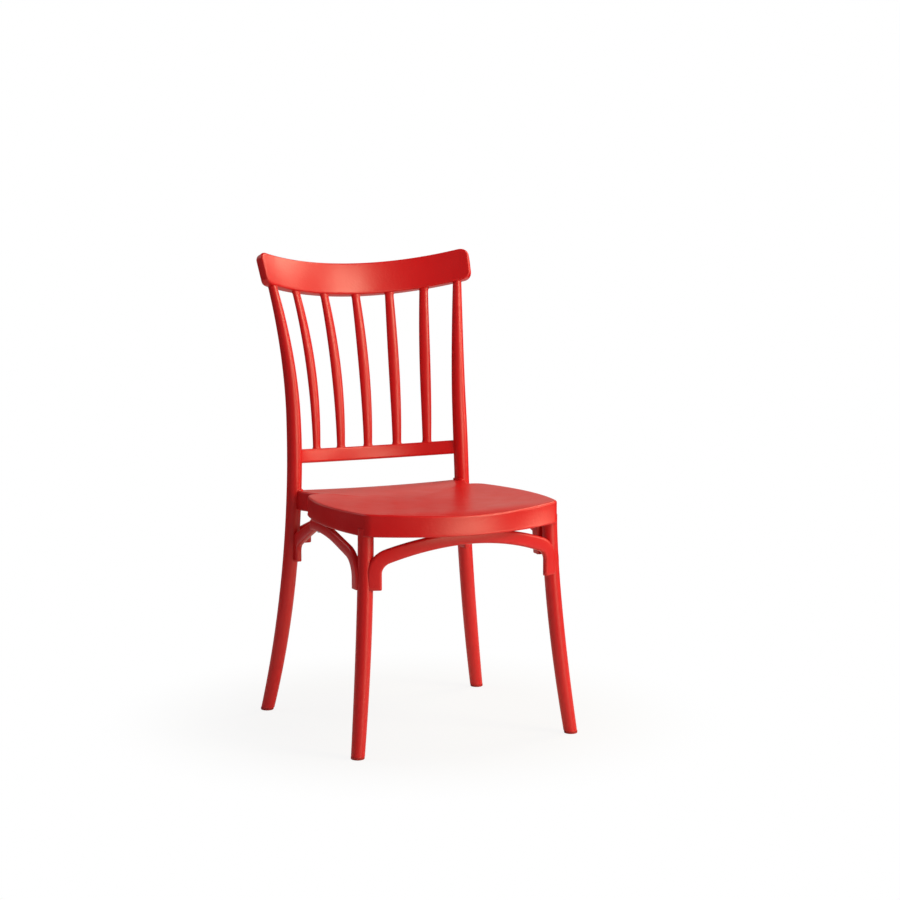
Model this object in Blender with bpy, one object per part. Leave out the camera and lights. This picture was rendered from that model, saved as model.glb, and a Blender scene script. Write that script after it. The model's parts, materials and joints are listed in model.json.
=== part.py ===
"""Stacking chair in moulded plastic: spindle back, dished seat and arched leg braces.

Metres, +Z up, standing on Z = 0 and facing -Y. Left and right are as seen from the front: left is -X.
Each piece is built about the middle of the four feet, and one empty then centres the chair on its origin.
"""

import math

import bmesh
import bpy
from mathutils import Vector

for old in list(bpy.data.objects):
    bpy.data.objects.remove(old, do_unlink=True)

# Fits
GAP = 0.0003  # between pieces that touch
POCKET_DEPTH = 0.011  # how far a spindle or a post runs into a back rail
RAIL_TENON = 0.010  # how far the lower back rail runs into a post
CUTTER_MARGIN = 0.020  # how far a cutter runs past the piece that it cuts

# Seat
SEAT_HEIGHT = 0.4565  # top of the seat at its front rim
SEAT_FALL = 0.008  # how much lower the rear rim is
SKIRT_HEIGHT = 0.0415  # of the outer wall at the front
SKIRT_BOTTOM = SEAT_HEIGHT - SKIRT_HEIGHT
SKIRT_WALL = 0.0035
PANEL = 0.004  # thickness of the sitting panel
RIM_ROUND = 0.005  # rounding of the upper edge
DISH = 0.005  # how far the middle lies below the rim
REAR_DIP = 0.0035  # how far the middle of the rear edge lies below the rim
SEAT_FRONT = 0.260  # front edge, forward of the middle of the feet
FRONT_BOW = 0.385  # radius of the front edge in plan
SEAT_HALF_WIDTH = 0.2190  # at the widest point
WIDEST_Y = -0.066
SIDE_BOW = 0.54  # radius of the side edge in plan
CORNER_ROUND = 0.020
LOBE_ROUND = 0.035  # rear side corners
EAR_REAR = 0.190  # rear edge of the seat, between the posts
EAR_LENGTH = 0.074
SHOULDER_Y = EAR_REAR - EAR_LENGTH  # where the wide part of the seat ends
NOTCH_DEPTH = 0.051  # from the widest point in to the ear
NOTCH_X = SEAT_HALF_WIDTH - NOTCH_DEPTH
RIB_WALL = 0.003
RIB_DEPTH = 0.012  # below the panel
RIB_X = 0.085  # ribs that run front to back
RIB_Y = (-0.120, 0.060)  # ribs that run side to side
RIB_SETBACK = 0.012  # front ends of the long ribs, behind the skirt

# Front legs
LEG_RADIUS = 0.015
FOOT_RADIUS = 0.013
LEG_INSET = 0.0260  # axis at the skirt, in from the seat's widest point
LEG_SETBACK = 0.0755  # and back from its front edge
FRONT_SPREAD_X = 0.0322  # how far the foot stands outward and forward of the top
FRONT_SPREAD_Y = 0.0319
FRONT_SPLAY_X = 1.6  # how late the leg swings out, sideways and forwards
FRONT_SPLAY_Y = 1.45
LEG_TENON_RADIUS = 0.0085
LEG_TENON_LENGTH = 0.022
FRONT_TOP = (SEAT_HALF_WIDTH - LEG_INSET, LEG_SETBACK - SEAT_FRONT)  # axis at the skirt
FRONT_FOOT = (FRONT_TOP[0] + FRONT_SPREAD_X, FRONT_TOP[1] - FRONT_SPREAD_Y)  # axis at the floor

# Rear posts, each a rear leg and a back upright in one
POST_INSET = 0.0355  # axis at the waist, in from the seat's widest point
POST_LAP = 0.0043  # most forward place of the axis, forward of the seat's rear edge
WAIST_RISE = 0.1435  # of the narrowest place, above the seat's rim
UPRIGHT_DROP = 0.0015  # of the most forward place, below the seat's rim
REAR_SPREAD_X = 0.0528  # how far the foot stands outward and back
REAR_SPREAD_Y = 0.0307
BACK_SPREAD_X = 0.0209  # how far the top stands outward and back
BACK_SPREAD_Y = 0.0597
BACK_RISE = 0.3945  # from the seat's rim to the lower edge of the crest rail
REAR_SPLAY_X = 2.13
REAR_SPLAY_Y = 2.3
BACK_SPLAY_X = 1.83
BACK_SPLAY_Y = 2.1
POST_TOP_RADIUS = 0.009
POST_TAPER_RISE = 0.0635  # the post thins from here up, above the seat's rim
POST_TAPER = 1.6
WAIST = (SEAT_HALF_WIDTH - POST_INSET, SEAT_HEIGHT + WAIST_RISE)  # narrowest x and its height
UPRIGHT = (EAR_REAR - POST_LAP, SEAT_HEIGHT - UPRIGHT_DROP)  # most forward y and its height
REAR_FOOT = (WAIST[0] + REAR_SPREAD_X, UPRIGHT[0] + REAR_SPREAD_Y)
POST_TOP = (WAIST[0] + BACK_SPREAD_X, UPRIGHT[0] + BACK_SPREAD_Y)  # axis under the crest rail
POST_TOP_Z = SEAT_HEIGHT + BACK_RISE
POST_TAPER_Z = SEAT_HEIGHT + POST_TAPER_RISE

# Back rails and spindles
CREST_HEIGHT = 0.0695
CREST_THICKNESS = 0.020
CREST_OVERHANG = 0.0248  # beyond the axis of a post
CREST_HALF_LENGTH = POST_TOP[0] + CREST_OVERHANG
CREST_CORNER_HIGH = 0.017  # rounding of its upper and lower corners
CREST_CORNER_LOW = 0.012
CREST_EDGE = 0.008
CREST_TIP = 0.010  # its ends thin over this length,
CREST_TIP_THIN = 0.7  # by this share of the edge's rounding
CREST_FLARE = 0.012  # how much longer its upper edge is than its lower, as a share
CREST_BOW = 0.062  # how far its middle lies behind the posts
CREST_LEAN = math.radians(24)
RAIL_RISE = 0.0595  # middle of the lower rail at the posts, above the seat's rim
RAIL_Z = SEAT_HEIGHT + RAIL_RISE
RAIL_HEIGHT = 0.028
RAIL_THICKNESS = 0.017
RAIL_EDGE = 0.005
RAIL_BOW = 0.054
RAIL_LEAN = math.radians(9)
SPINDLES = 5
SPINDLE_PITCH_LOW = 0.0628  # along the curve of each rail
SPINDLE_PITCH_HIGH = 0.0730
SPINDLE_SWEEP = 1.8  # how late a spindle leans back
SPINDLE_SPREAD = 2.4  # how late it leans sideways
SPINDLE_WIDTH_END = 0.0180
SPINDLE_WIDTH_MIDDLE = 0.0225
SPINDLE_DEPTH_END = 0.0095
SPINDLE_DEPTH_MIDDLE = 0.0120

# Arched braces
ARCH_WIDTH = 0.0235  # of the strip at its ends
ARCH_CROWN_WIDTH = 0.0205  # of the strip at its crown
ARCH_SWELL = 3.0  # how late the strip widens towards its ends
ARCH_THICKNESS = 0.0120
ARCH_EDGE = 0.0045
ARCH_BEND = 0.027  # radius where the front strip turns down the leg
ARCH_LAP = 0.0248  # leg axis to the far edge of the strip
ARCH_REACH = 0.103  # lower ends of the front and side arches, below the skirt
FRONT_ARCH_DROP = 0.0117  # middle of the strip at its crown, below the skirt
FRONT_ARCH_RADIUS = 0.505
FRONT_ARCH_SET = 0.0130  # middle of the strip, forward of the leg axis
FRONT_ARCH_BOW = 0.0280  # how far its middle stands forward of its ends
SIDE_ARCH_REAR_WIDTH = 0.0300  # of the side strips at the posts
SIDE_ARCH_BEND = 0.0300
SIDE_ARCH_CROWN_Y = -0.003
SIDE_ARCH_DROP = 0.0107
SIDE_ARCH_RADIUS_FRONT = 0.344
SIDE_ARCH_RADIUS_REAR = 0.200
SIDE_ARCH_FLANK_FRONT = math.radians(15)  # its slope beyond the crown
SIDE_ARCH_FLANK_REAR = math.radians(19.4)
SIDE_ARCH_INSET = 0.0090  # middle of the strip, in from the seat's widest point
SIDE_ARCH_SET_FRONT = 0.0118  # outward of the front leg's axis
SIDE_ARCH_SET_REAR = 0.0078  # inward of the rear post's axis
SIDE_ARCH_SWEEP_FROM = 0.085  # the strip sweeps in to the post between these places,
SIDE_ARCH_SWEEP_TO = 0.0417  # forward of the seat's shoulder
REAR_ARCH_DROP = 0.011
REAR_ARCH_RISE = 0.053  # from its ends, which butt on the posts, to its crown
REAR_ARCH_SET = 0.004  # behind the post's axis
REAR_ARCH_BOW = 0.0125  # how far its middle stands forward of its ends
ARCH_END_Z = SKIRT_BOTTOM - ARCH_REACH
FRONT_ARCH_CROWN_Z = SKIRT_BOTTOM - FRONT_ARCH_DROP
SIDE_ARCH_CROWN_Z = SKIRT_BOTTOM - SIDE_ARCH_DROP
REAR_ARCH_CROWN_Z = SKIRT_BOTTOM - REAR_ARCH_DROP
REAR_ARCH_END_Z = REAR_ARCH_CROWN_Z - REAR_ARCH_RISE

# Stacking lugs: under the seat beside each front leg, and inside each side arch at the post
LUG_REACH = 0.068  # below the skirt
LUG_BOTTOM = SKIRT_BOTTOM - LUG_REACH
LUG_ROUND = 0.003
FRONT_LUG = (0.004, 0.0185, 0.012, 0.034)  # inward from, to, and rearward from, to, of the leg axis
REAR_LUG_FORWARD = 0.0405  # front of the lug, forward of the post axis
REAR_LUG_LENGTH = 0.0185
REAR_LUG_THICKNESS = 0.0152
REAR_LUG_HEIGHT = 0.0255

# Seat blocks that take the legs, the posts and the front lugs
LEG_BOSS_RADIUS = 0.0115
CROWN_BOSS_RADIUS = 0.0055
BLOCK_REACH = 0.026  # inward of a leg or post axis
POST_BLOCK_LENGTH = 0.034  # forward of the post axis

# Fasteners
BOLT_RADIUS = 0.0025
BOLT_HEAD_RADIUS = 0.0045
BOLT_HEAD = 0.003
BOLT_END_FACE = 0.8  # radius of the head's end face, as a share of the head's
BOLT_HEAD_WALL = 0.6  # straight part of the head, as a share of its height
BOLT_BITE = 0.010  # how far a cross bolt runs into a leg or post
BOLT_RISE = 0.014  # of the cross bolts, above the lower edge of the skirt
BOLT_Z = SKIRT_BOTTOM + BOLT_RISE
LUG_BOLT_RISE = 0.018  # how far a front lug's bolt runs up into the seat
LUG_BOLT_BITE = 0.008  # how far a rear lug's bolt runs into the side arch
CROWN_SCREW_RISE = 0.014  # how far a crown screw runs up into its boss
DOWEL_RADIUS = 0.0025
DOWEL_LENGTH = 0.012
DOWEL_RISE = 0.014  # above the end of the arch
DOWEL_LIMIT = 0.7  # how far off the leg's middle a dowel may sit, as a share of the leg's radius

# Foot glides
GLIDE_HEIGHT = 0.005
GLIDE_EDGE = 0.0022
GLIDE_STEM_RADIUS = 0.0075
GLIDE_STEM = 0.018

# Facets
ROUND_SIDES = 16
SPINDLE_SIDES = 12
BOLT_SIDES = 8
SHARP = math.radians(38)
ROUND_MIDDLE = 1 - math.cos(math.pi / 4)  # how far in a rounded edge's middle lies, as a share of its radius

# Finish: colour in linear light, roughness, metallic
RED_PLASTIC = ((0.62, 0.020, 0.014, 1.0), 0.42, 0.0)
GLIDE_PLASTIC = ((0.50, 0.016, 0.012, 1.0), 0.55, 0.0)
ZINC_STEEL = ((0.62, 0.63, 0.64, 1.0), 0.35, 1.0)

UP = Vector((0, 0, 1))
chair = bpy.data.objects.new("chair", None)
bpy.context.scene.collection.objects.link(chair)


# Building blocks


def finish(obj, look):
    """Give a piece its own material."""
    colour, roughness, metallic = look
    material = bpy.data.materials.new(obj.name)
    material.use_nodes = True
    shader = material.node_tree.nodes["Principled BSDF"]
    shader.inputs["Base Color"].default_value = colour
    shader.inputs["Roughness"].default_value = roughness
    shader.inputs["Metallic"].default_value = metallic
    obj.data.materials.append(material)


def solid(name, rings, look):
    """One closed solid through rings of equal point counts, capped at both ends."""
    shape = bmesh.new()
    loops = [[shape.verts.new(point) for point in ring] for ring in rings]
    for low, high in zip(loops, loops[1:]):
        for i in range(len(low)):
            j = (i + 1) % len(low)
            shape.faces.new((low[i], low[j], high[j], high[i]))
    shape.faces.new(loops[0])
    shape.faces.new(loops[-1])
    bmesh.ops.recalc_face_normals(shape, faces=shape.faces)
    mesh = bpy.data.meshes.new(name)
    shape.to_mesh(mesh)
    shape.free()
    mesh.shade_smooth()
    mesh.set_sharp_from_angle(angle=SHARP)
    obj = bpy.data.objects.new(name, mesh)
    bpy.context.scene.collection.objects.link(obj)
    obj.parent = chair
    if look:
        finish(obj, look)
    return obj


def tool(name, rings):
    """A solid that only cuts or joins another piece."""
    obj = solid(name, rings, None)
    obj.hide_render = True
    obj.display_type = "WIRE"
    return obj


def combine(piece, other, operation):
    """Cut a piece with a tool, or join the tool to it."""
    boolean = piece.modifiers.new(other.name, "BOOLEAN")
    boolean.operation = operation
    boolean.object = other


def cut(piece, name, rings):
    combine(piece, tool(name, rings), "DIFFERENCE")


def join(piece, name, rings):
    combine(piece, tool(name, rings), "UNION")


def circle(centre, across, along, radius_a, radius_b, sides):
    """A ring of points about a centre, in the plane of two directions."""
    turns = [2 * math.pi * i / sides for i in range(sides)]
    return [centre + across * (radius_a * math.cos(t)) + along * (radius_b * math.sin(t)) for t in turns]


def rounded_box(centre, across, along, width, height, edge):
    """A ring in the shape of a rectangle with rounded corners."""
    ring = []
    for quarter in range(4):
        sign_a = 1 if quarter in (0, 3) else -1
        sign_b = 1 if quarter in (0, 1) else -1
        corner = centre + across * (sign_a * (width / 2 - edge)) + along * (sign_b * (height / 2 - edge))
        for step in range(3):
            turn = math.pi / 2 * (quarter + step / 2)
            ring.append(corner + across * (edge * math.cos(turn)) + along * (edge * math.sin(turn)))
    return ring


def side_axes(direction):
    """Two directions square to a third and to each other."""
    helper = UP if abs(direction.z) < 0.9 else Vector((1, 0, 0))
    across = direction.cross(helper).normalized()
    return across, direction.cross(across).normalized()


def rod(start, direction, stages):
    """Rings of a turned piece: (distance along it, radius) at each stage."""
    across, along = side_axes(direction)
    return [circle(start + direction * far, across, along, r, r, BOLT_SIDES) for far, r in stages]


# Paths of the legs, posts and back


def swing(start, end, share, power):
    """A value that leaves its start slowly and reaches its end at share 1."""
    return start + (end - start) * max(share, 0.0) ** power


def front_axis(z):
    """Axis of the right front leg at a height."""
    share = (SKIRT_BOTTOM - z) / SKIRT_BOTTOM
    x = swing(FRONT_TOP[0], FRONT_FOOT[0], share, FRONT_SPLAY_X)
    y = swing(FRONT_TOP[1], FRONT_FOOT[1], share, FRONT_SPLAY_Y)
    return Vector((x, y, z))


def post_axis(z):
    """Axis of the right rear post at a height: in to a waist, then out and back."""
    waist_x, waist_z = WAIST
    if z < waist_z:
        x = swing(waist_x, REAR_FOOT[0], (waist_z - z) / waist_z, REAR_SPLAY_X)
    else:
        x = swing(waist_x, POST_TOP[0], (z - waist_z) / (POST_TOP_Z - waist_z), BACK_SPLAY_X)
    upright_y, upright_z = UPRIGHT
    if z < upright_z:
        y = swing(upright_y, REAR_FOOT[1], (upright_z - z) / upright_z, REAR_SPLAY_Y)
    else:
        y = swing(upright_y, POST_TOP[1], (z - upright_z) / (POST_TOP_Z - upright_z), BACK_SPLAY_Y)
    return Vector((x, y, z))


def leg_radius(z):
    """A leg thickens from its foot over the lower two thirds of its length."""
    full = SKIRT_BOTTOM * 2 / 3
    share = max(full - z, 0.0) / full
    return LEG_RADIUS - (LEG_RADIUS - FOOT_RADIUS) * share**2


def post_radius(z):
    if z < POST_TAPER_Z:
        return leg_radius(z)
    share = (z - POST_TAPER_Z) / (POST_TOP_Z - POST_TAPER_Z)
    return LEG_RADIUS - (LEG_RADIUS - POST_TOP_RADIUS) * share**POST_TAPER


def leg_rings(axis, radius, heights, side, grow=0.0):
    """Level rings along a leg, widened where it slants so that it stays round across its length."""
    rings = []
    step = 0.002
    for z in heights:
        slope = (axis(z + step) - axis(z - step)) / (2 * step)
        centre = axis(z)
        size = radius(z) + grow
        wide = size * math.hypot(1, slope.x)
        deep = size * math.hypot(1, slope.y)
        ring = circle(centre, Vector((1, 0, 0)), Vector((0, 1, 0)), wide, deep, ROUND_SIDES)
        rings.append([Vector((side * p.x, p.y, p.z)) for p in ring])
    return rings


def spread(low, high, count):
    """Evenly spaced values from low to high."""
    return [low + (high - low) * i / (count - 1) for i in range(count)]


def flat_ring(x, y, z, radius):
    """A level ring with as many points as a leg has."""
    return circle(Vector((x, y, z)), Vector((1, 0, 0)), Vector((0, 1, 0)), radius, radius, ROUND_SIDES)


def bow_radius(end, bow):
    """Radius of the arc through two posts that stands back by the bow half way between them."""
    return (end.x**2 + bow**2) / (2 * bow)


def along_bow(end, bow, distance):
    """The x of a point at a distance along a back rail's curve from its middle."""
    radius = bow_radius(end, bow)
    return radius * math.sin(distance / radius)


def back_curve(end, bow, lean, x):
    """A point on a back rail's middle line, which bows back between the posts in a leaning plane."""
    radius = bow_radius(end, bow)
    behind = bow - (radius - math.sqrt(radius**2 - x**2))
    return Vector((x, end.y + behind * math.cos(lean), end.z - behind * math.sin(lean)))


def back_section(end, bow, lean, x):
    """Centre, thickness direction and height direction of a back rail at x."""
    step = 0.001
    centre = back_curve(end, bow, lean, x)
    run = back_curve(end, bow, lean, x + step) - back_curve(end, bow, lean, x - step)
    rise = Vector((0, math.sin(lean), math.cos(lean)))
    return centre, run.cross(rise).normalized(), rise


# The crest rail stands on the post ends, half its height above them.
CREST_END = Vector((POST_TOP[0], POST_TOP[1], POST_TOP_Z))
CREST_END += Vector((0, math.sin(CREST_LEAN), math.cos(CREST_LEAN))) * (CREST_HEIGHT / 2)
RAIL_END = post_axis(RAIL_Z)


# Seat


def circles_meet(centre_a, radius_a, centre_b, radius_b):
    """The crossing of two circles that lies further to +X."""
    gap = centre_b - centre_a
    far = gap.length
    along = (far**2 + radius_a**2 - radius_b**2) / (2 * far)
    aside = math.sqrt(radius_a**2 - along**2)
    middle = centre_a + gap * (along / far)
    normal = Vector((-gap.y, gap.x)) / far
    return max(middle + normal * aside, middle - normal * aside, key=lambda p: p.x)


def arc(centre, radius, start, end, count):
    """Points round a centre from one angle to another."""
    return [centre + Vector((math.cos(t), math.sin(t))) * radius for t in spread(start, end, count)]


def angle_to(centre, point):
    return math.atan2(point.y - centre.y, point.x - centre.x)


def seat_half_outline():
    """Right half of the seat's outer edge in plan, from the front middle to the rear edge beside the post."""
    front = Vector((0, FRONT_BOW - SEAT_FRONT))
    side = Vector((SEAT_HALF_WIDTH - SIDE_BOW, WIDEST_Y))
    corner = circles_meet(front, FRONT_BOW - CORNER_ROUND, side, SIDE_BOW - CORNER_ROUND)
    lobe_y = SHOULDER_Y - LOBE_ROUND
    lobe_x = side.x + math.sqrt((SIDE_BOW - LOBE_ROUND) ** 2 - (lobe_y - side.y) ** 2)
    lobe = Vector((lobe_x, lobe_y))
    from_front = angle_to(front, corner)
    to_side = angle_to(side, corner)
    to_lobe = angle_to(side, lobe)
    ear_x = post_axis(SEAT_HEIGHT).x
    points = arc(front, FRONT_BOW, -math.pi / 2, from_front, 7)[:-1]
    points += arc(corner, CORNER_ROUND, from_front, to_side, 5)
    points += arc(side, SIDE_BOW, to_side, to_lobe, 8)[1:-1]
    points += arc(lobe, LOBE_ROUND, to_lobe, math.pi / 2, 6)
    points += [Vector((NOTCH_X, SHOULDER_Y)), Vector((ear_x, UPRIGHT[0] - LEG_RADIUS))]
    points += [Vector((ear_x, EAR_REAR))]
    return points


def seat_outline():
    """The whole outer edge, anticlockwise from the front middle, with the rear edge split in six."""
    right = seat_half_outline()
    rear = [Vector((x, EAR_REAR)) for x in spread(right[-1].x, -right[-1].x, 7)[1:-1]]
    left = [Vector((-p.x, p.y)) for p in reversed(right[1:])]
    return right + rear + left


def inset(outline, distance):
    """The outline moved inwards by a distance."""
    moved = []
    count = len(outline)
    for i, point in enumerate(outline):
        before = (point - outline[i - 1]).normalized()
        after = (outline[(i + 1) % count] - point).normalized()
        normal = Vector((-before.y - after.y, before.x + after.x)).normalized()
        moved.append(point + normal * (distance / max(normal.dot(Vector((-after.y, after.x))), 0.5)))
    return moved


def seat_top(x, y, share):
    """Height of the sitting surface: share is 0 in the middle of the dish and 1 at the rim."""
    fall = SEAT_FALL * (y + SEAT_FRONT) / (EAR_REAR + SEAT_FRONT)
    dip = REAR_DIP * max(y / EAR_REAR, 0.0) ** 2 * max(1 - (x / UPRIGHT[0]) ** 2, 0.0)
    return SEAT_HEIGHT - fall - DISH * (1 - share**2) - dip * share


def dish_share(x, y):
    """How far out a place on the seat lies, from 0 in the middle to 1 at the rim."""
    return min(math.hypot(x / SEAT_HALF_WIDTH, y / ((SEAT_FRONT + EAR_REAR) / 2)), 1.0)


def panel_middle(x, y):
    """Height half way through the sitting panel, where ribs and bosses end."""
    return seat_top(x, y, dish_share(x, y)) - PANEL / 2


def level(outline, z):
    return [Vector((p.x, p.y, z)) for p in outline]


def dished(outline, share, drop):
    """The outline drawn in towards the middle of the seat, on the dished surface or below it."""
    inner = [p * share for p in outline]
    return [Vector((p.x, p.y, seat_top(p.x, p.y, share) - drop)) for p in inner]


def seat_rings():
    """Rings from the middle of the underside, out to the skirt, over the rim and in across the top."""
    outer = seat_outline()
    inner = inset(outer, SKIRT_WALL)
    rim = inset(outer, RIM_ROUND)
    quarter = RIM_ROUND * ROUND_MIDDLE
    shoulder = inset(outer, quarter)
    tops = [seat_top(p.x, p.y, 1.0) for p in outer]
    rings = [dished(outer, share, PANEL) for share in (0.06, 0.35, 0.7)]
    rings += [[Vector((p.x, p.y, z - RIM_ROUND - PANEL / 2)) for p, z in zip(inner, tops)]]
    rings += [level(inner, SKIRT_BOTTOM), level(outer, SKIRT_BOTTOM)]
    rings += [[Vector((p.x, p.y, z - RIM_ROUND)) for p, z in zip(outer, tops)]]
    rings += [[Vector((p.x, p.y, z - quarter)) for p, z in zip(shoulder, tops)]]
    rings += [[Vector((p.x, p.y, z)) for p, z in zip(rim, tops)]]
    rings += [dished(rim, share, 0.0) for share in (0.88, 0.7, 0.5, 0.28, 0.06)]
    return rings


def rib_rings(start, end):
    """A thin rib under the panel, following its dish."""
    rings = []
    run = (end - start).normalized()
    aside = Vector((-run.y, run.x)) * (RIB_WALL / 2)
    for share in spread(0, 1, 7):
        at = start + (end - start) * share
        high = panel_middle(at.x, at.y)
        low = seat_top(at.x, at.y, 0.0) - PANEL - RIB_DEPTH
        corners = ((aside, low), (aside, high), (-aside, high), (-aside, low))
        rings.append([Vector((at.x + a.x, at.y + a.y, z)) for a, z in corners])
    return rings


def box_rings(low, high):
    """The two ends, in z, of an upright box."""
    corners = ((low.x, low.y), (high.x, low.y), (high.x, high.y), (low.x, high.y))
    return [[Vector((x, y, z)) for x, y in corners] for z in (low.z, high.z)]


def mirrored(rings, side):
    return [[Vector((side * p.x, p.y, p.z)) for p in ring] for ring in rings]


SIDES = (("left", -1), ("right", 1))


def build_seat():
    seat = solid("seat_shell", seat_rings(), RED_PLASTIC)
    rib_front = -SEAT_FRONT + SKIRT_WALL
    rib_rear = EAR_REAR - SKIRT_WALL
    for label, side in SIDES:
        x = side * RIB_X
        join(seat, f"rib_{label}", rib_rings(Vector((x, rib_front + RIB_SETBACK)), Vector((x, rib_rear))))
    for i, y in enumerate(RIB_Y):
        reach = SEAT_HALF_WIDTH - 4 * SKIRT_WALL
        join(seat, f"cross_rib_{i}", rib_rings(Vector((-reach, y)), Vector((reach, y))))
    leg = front_axis(SKIRT_BOTTOM)
    post = post_axis(SKIRT_BOTTOM)
    for label, side in SIDES:
        high = panel_middle(leg.x, leg.y)
        boss = [flat_ring(leg.x, leg.y, z, LEG_BOSS_RADIUS) for z in (SKIRT_BOTTOM, high)]
        join(seat, f"leg_boss_{label}", mirrored(boss, side))
        low = Vector((leg.x - BLOCK_REACH, leg.y - LEG_TENON_RADIUS, SKIRT_BOTTOM))
        top = Vector((leg.x, leg.y + FRONT_LUG[3], high))
        join(seat, f"leg_block_{label}", mirrored(box_rings(low, top), side))
        low = Vector((post.x - BLOCK_REACH, post.y - POST_BLOCK_LENGTH, SKIRT_BOTTOM))
        top = Vector((post.x - SKIRT_WALL, EAR_REAR - SKIRT_WALL / 2, panel_middle(post.x, post.y)))
        join(seat, f"post_block_{label}", mirrored(box_rings(low, top), side))
    for label, place in arch_crowns():
        ends = (place.z + ARCH_CROWN_WIDTH / 2 + GAP, panel_middle(place.x, place.y))
        boss = [flat_ring(place.x, place.y, z, CROWN_BOSS_RADIUS) for z in ends]
        join(seat, f"crown_boss_{label}", boss)
    bore = LEG_TENON_RADIUS + GAP
    heights = spread(SKIRT_BOTTOM - CUTTER_MARGIN, SEAT_HEIGHT + CUTTER_MARGIN, 3)
    for label, side in SIDES:
        hole_top = SKIRT_BOTTOM + LEG_TENON_LENGTH + GAP
        hole = [flat_ring(leg.x, leg.y, z, bore) for z in (SKIRT_BOTTOM - LEG_RADIUS, hole_top)]
        cut(seat, f"leg_socket_{label}", mirrored(hole, side))
        cut(seat, f"post_cope_{label}", leg_rings(post_axis, post_radius, heights, side, GAP))
    return seat


# Legs, posts and feet


def foot_socket(foot, side):
    """Rings of the hole that takes a glide's stem, from its roof down to the end of the leg."""
    bottom = GLIDE_HEIGHT + GAP
    roof = GLIDE_HEIGHT + GLIDE_STEM + GAP
    rings = [flat_ring(foot[0], foot[1], z, GLIDE_STEM_RADIUS + GAP) for z in (roof, bottom)]
    return mirrored(rings, side)


def build_front_leg(label, side):
    shoulder = SKIRT_BOTTOM - GAP
    tenon_top = SKIRT_BOTTOM + LEG_TENON_LENGTH
    top = front_axis(SKIRT_BOTTOM)
    rings = foot_socket(FRONT_FOOT, side)
    rings += leg_rings(front_axis, leg_radius, spread(GLIDE_HEIGHT + GAP, shoulder, 11), side)
    rings += mirrored([flat_ring(top.x, top.y, z, LEG_TENON_RADIUS) for z in (shoulder, tenon_top)], side)
    return solid(f"front_leg_{label}", rings, RED_PLASTIC)


def build_rear_post(label, side):
    rings = foot_socket(REAR_FOOT, side)
    heights = spread(GLIDE_HEIGHT + GAP, POST_TOP_Z + POCKET_DEPTH * math.cos(CREST_LEAN), 24)
    rings += leg_rings(post_axis, post_radius, heights, side)
    return solid(f"rear_post_{label}", rings, RED_PLASTIC)


def build_glide(name, foot, side):
    """A foot cap with a rounded lower edge and a stem up into the leg."""
    turn = GLIDE_EDGE * ROUND_MIDDLE
    profile = [(0.0, FOOT_RADIUS - GLIDE_EDGE), (turn, FOOT_RADIUS - turn)]
    profile += [(GLIDE_EDGE, FOOT_RADIUS), (GLIDE_HEIGHT, FOOT_RADIUS), (GLIDE_HEIGHT, GLIDE_STEM_RADIUS)]
    profile += [(GLIDE_HEIGHT + GLIDE_STEM, GLIDE_STEM_RADIUS)]
    rings = [flat_ring(foot[0], foot[1], z, radius) for z, radius in profile]
    return solid(name, mirrored(rings, side), GLIDE_PLASTIC)


# Back


def corner_drop(radius, distance):
    """How far a rounded corner has fallen away at a distance from the end of the rail."""
    short = max(radius - distance, 0.0)
    return radius - math.sqrt(radius**2 - short**2)


def crest_rings():
    """Sections along the crest rail, drawn in at its ends to round the corners."""
    ends = [CREST_CORNER_HIGH * share for share in (0.0, 0.1, 0.3, 0.6, 1.0)]
    inner = CREST_HALF_LENGTH - ends[-1]
    right = [CREST_HALF_LENGTH - distance for distance in ends]
    stations = right + spread(inner, -inner, 13)[1:-1] + [-x for x in reversed(right)]
    rings = []
    for x in stations:
        distance = CREST_HALF_LENGTH - abs(x)
        thinner = CREST_EDGE * CREST_TIP_THIN * max(1 - distance / CREST_TIP, 0.0) ** 3
        high = corner_drop(CREST_CORNER_HIGH, distance) + thinner / 2
        low = corner_drop(CREST_CORNER_LOW, distance) + thinner / 2
        centre, across, rise = back_section(CREST_END, CREST_BOW, CREST_LEAN, x)
        thick = CREST_THICKNESS - 2 * thinner
        tall = CREST_HEIGHT - high - low
        middle = centre + rise * ((low - high) / 2)
        ring = rounded_box(middle, across, rise, thick, tall, min(CREST_EDGE, thick / 2 - GAP))
        for point in ring:
            point.x *= 1 + CREST_FLARE * (point - centre).dot(rise) / CREST_HEIGHT
        rings.append(ring)
    return rings


def rail_rings(end_x, grow=0.0):
    rings = []
    for x in spread(end_x, -end_x, 13):
        centre, across, rise = back_section(RAIL_END, RAIL_BOW, RAIL_LEAN, x)
        size = (RAIL_THICKNESS + 2 * grow, RAIL_HEIGHT + 2 * grow)
        rings.append(rounded_box(centre, across, rise, *size, RAIL_EDGE))
    return rings


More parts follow.
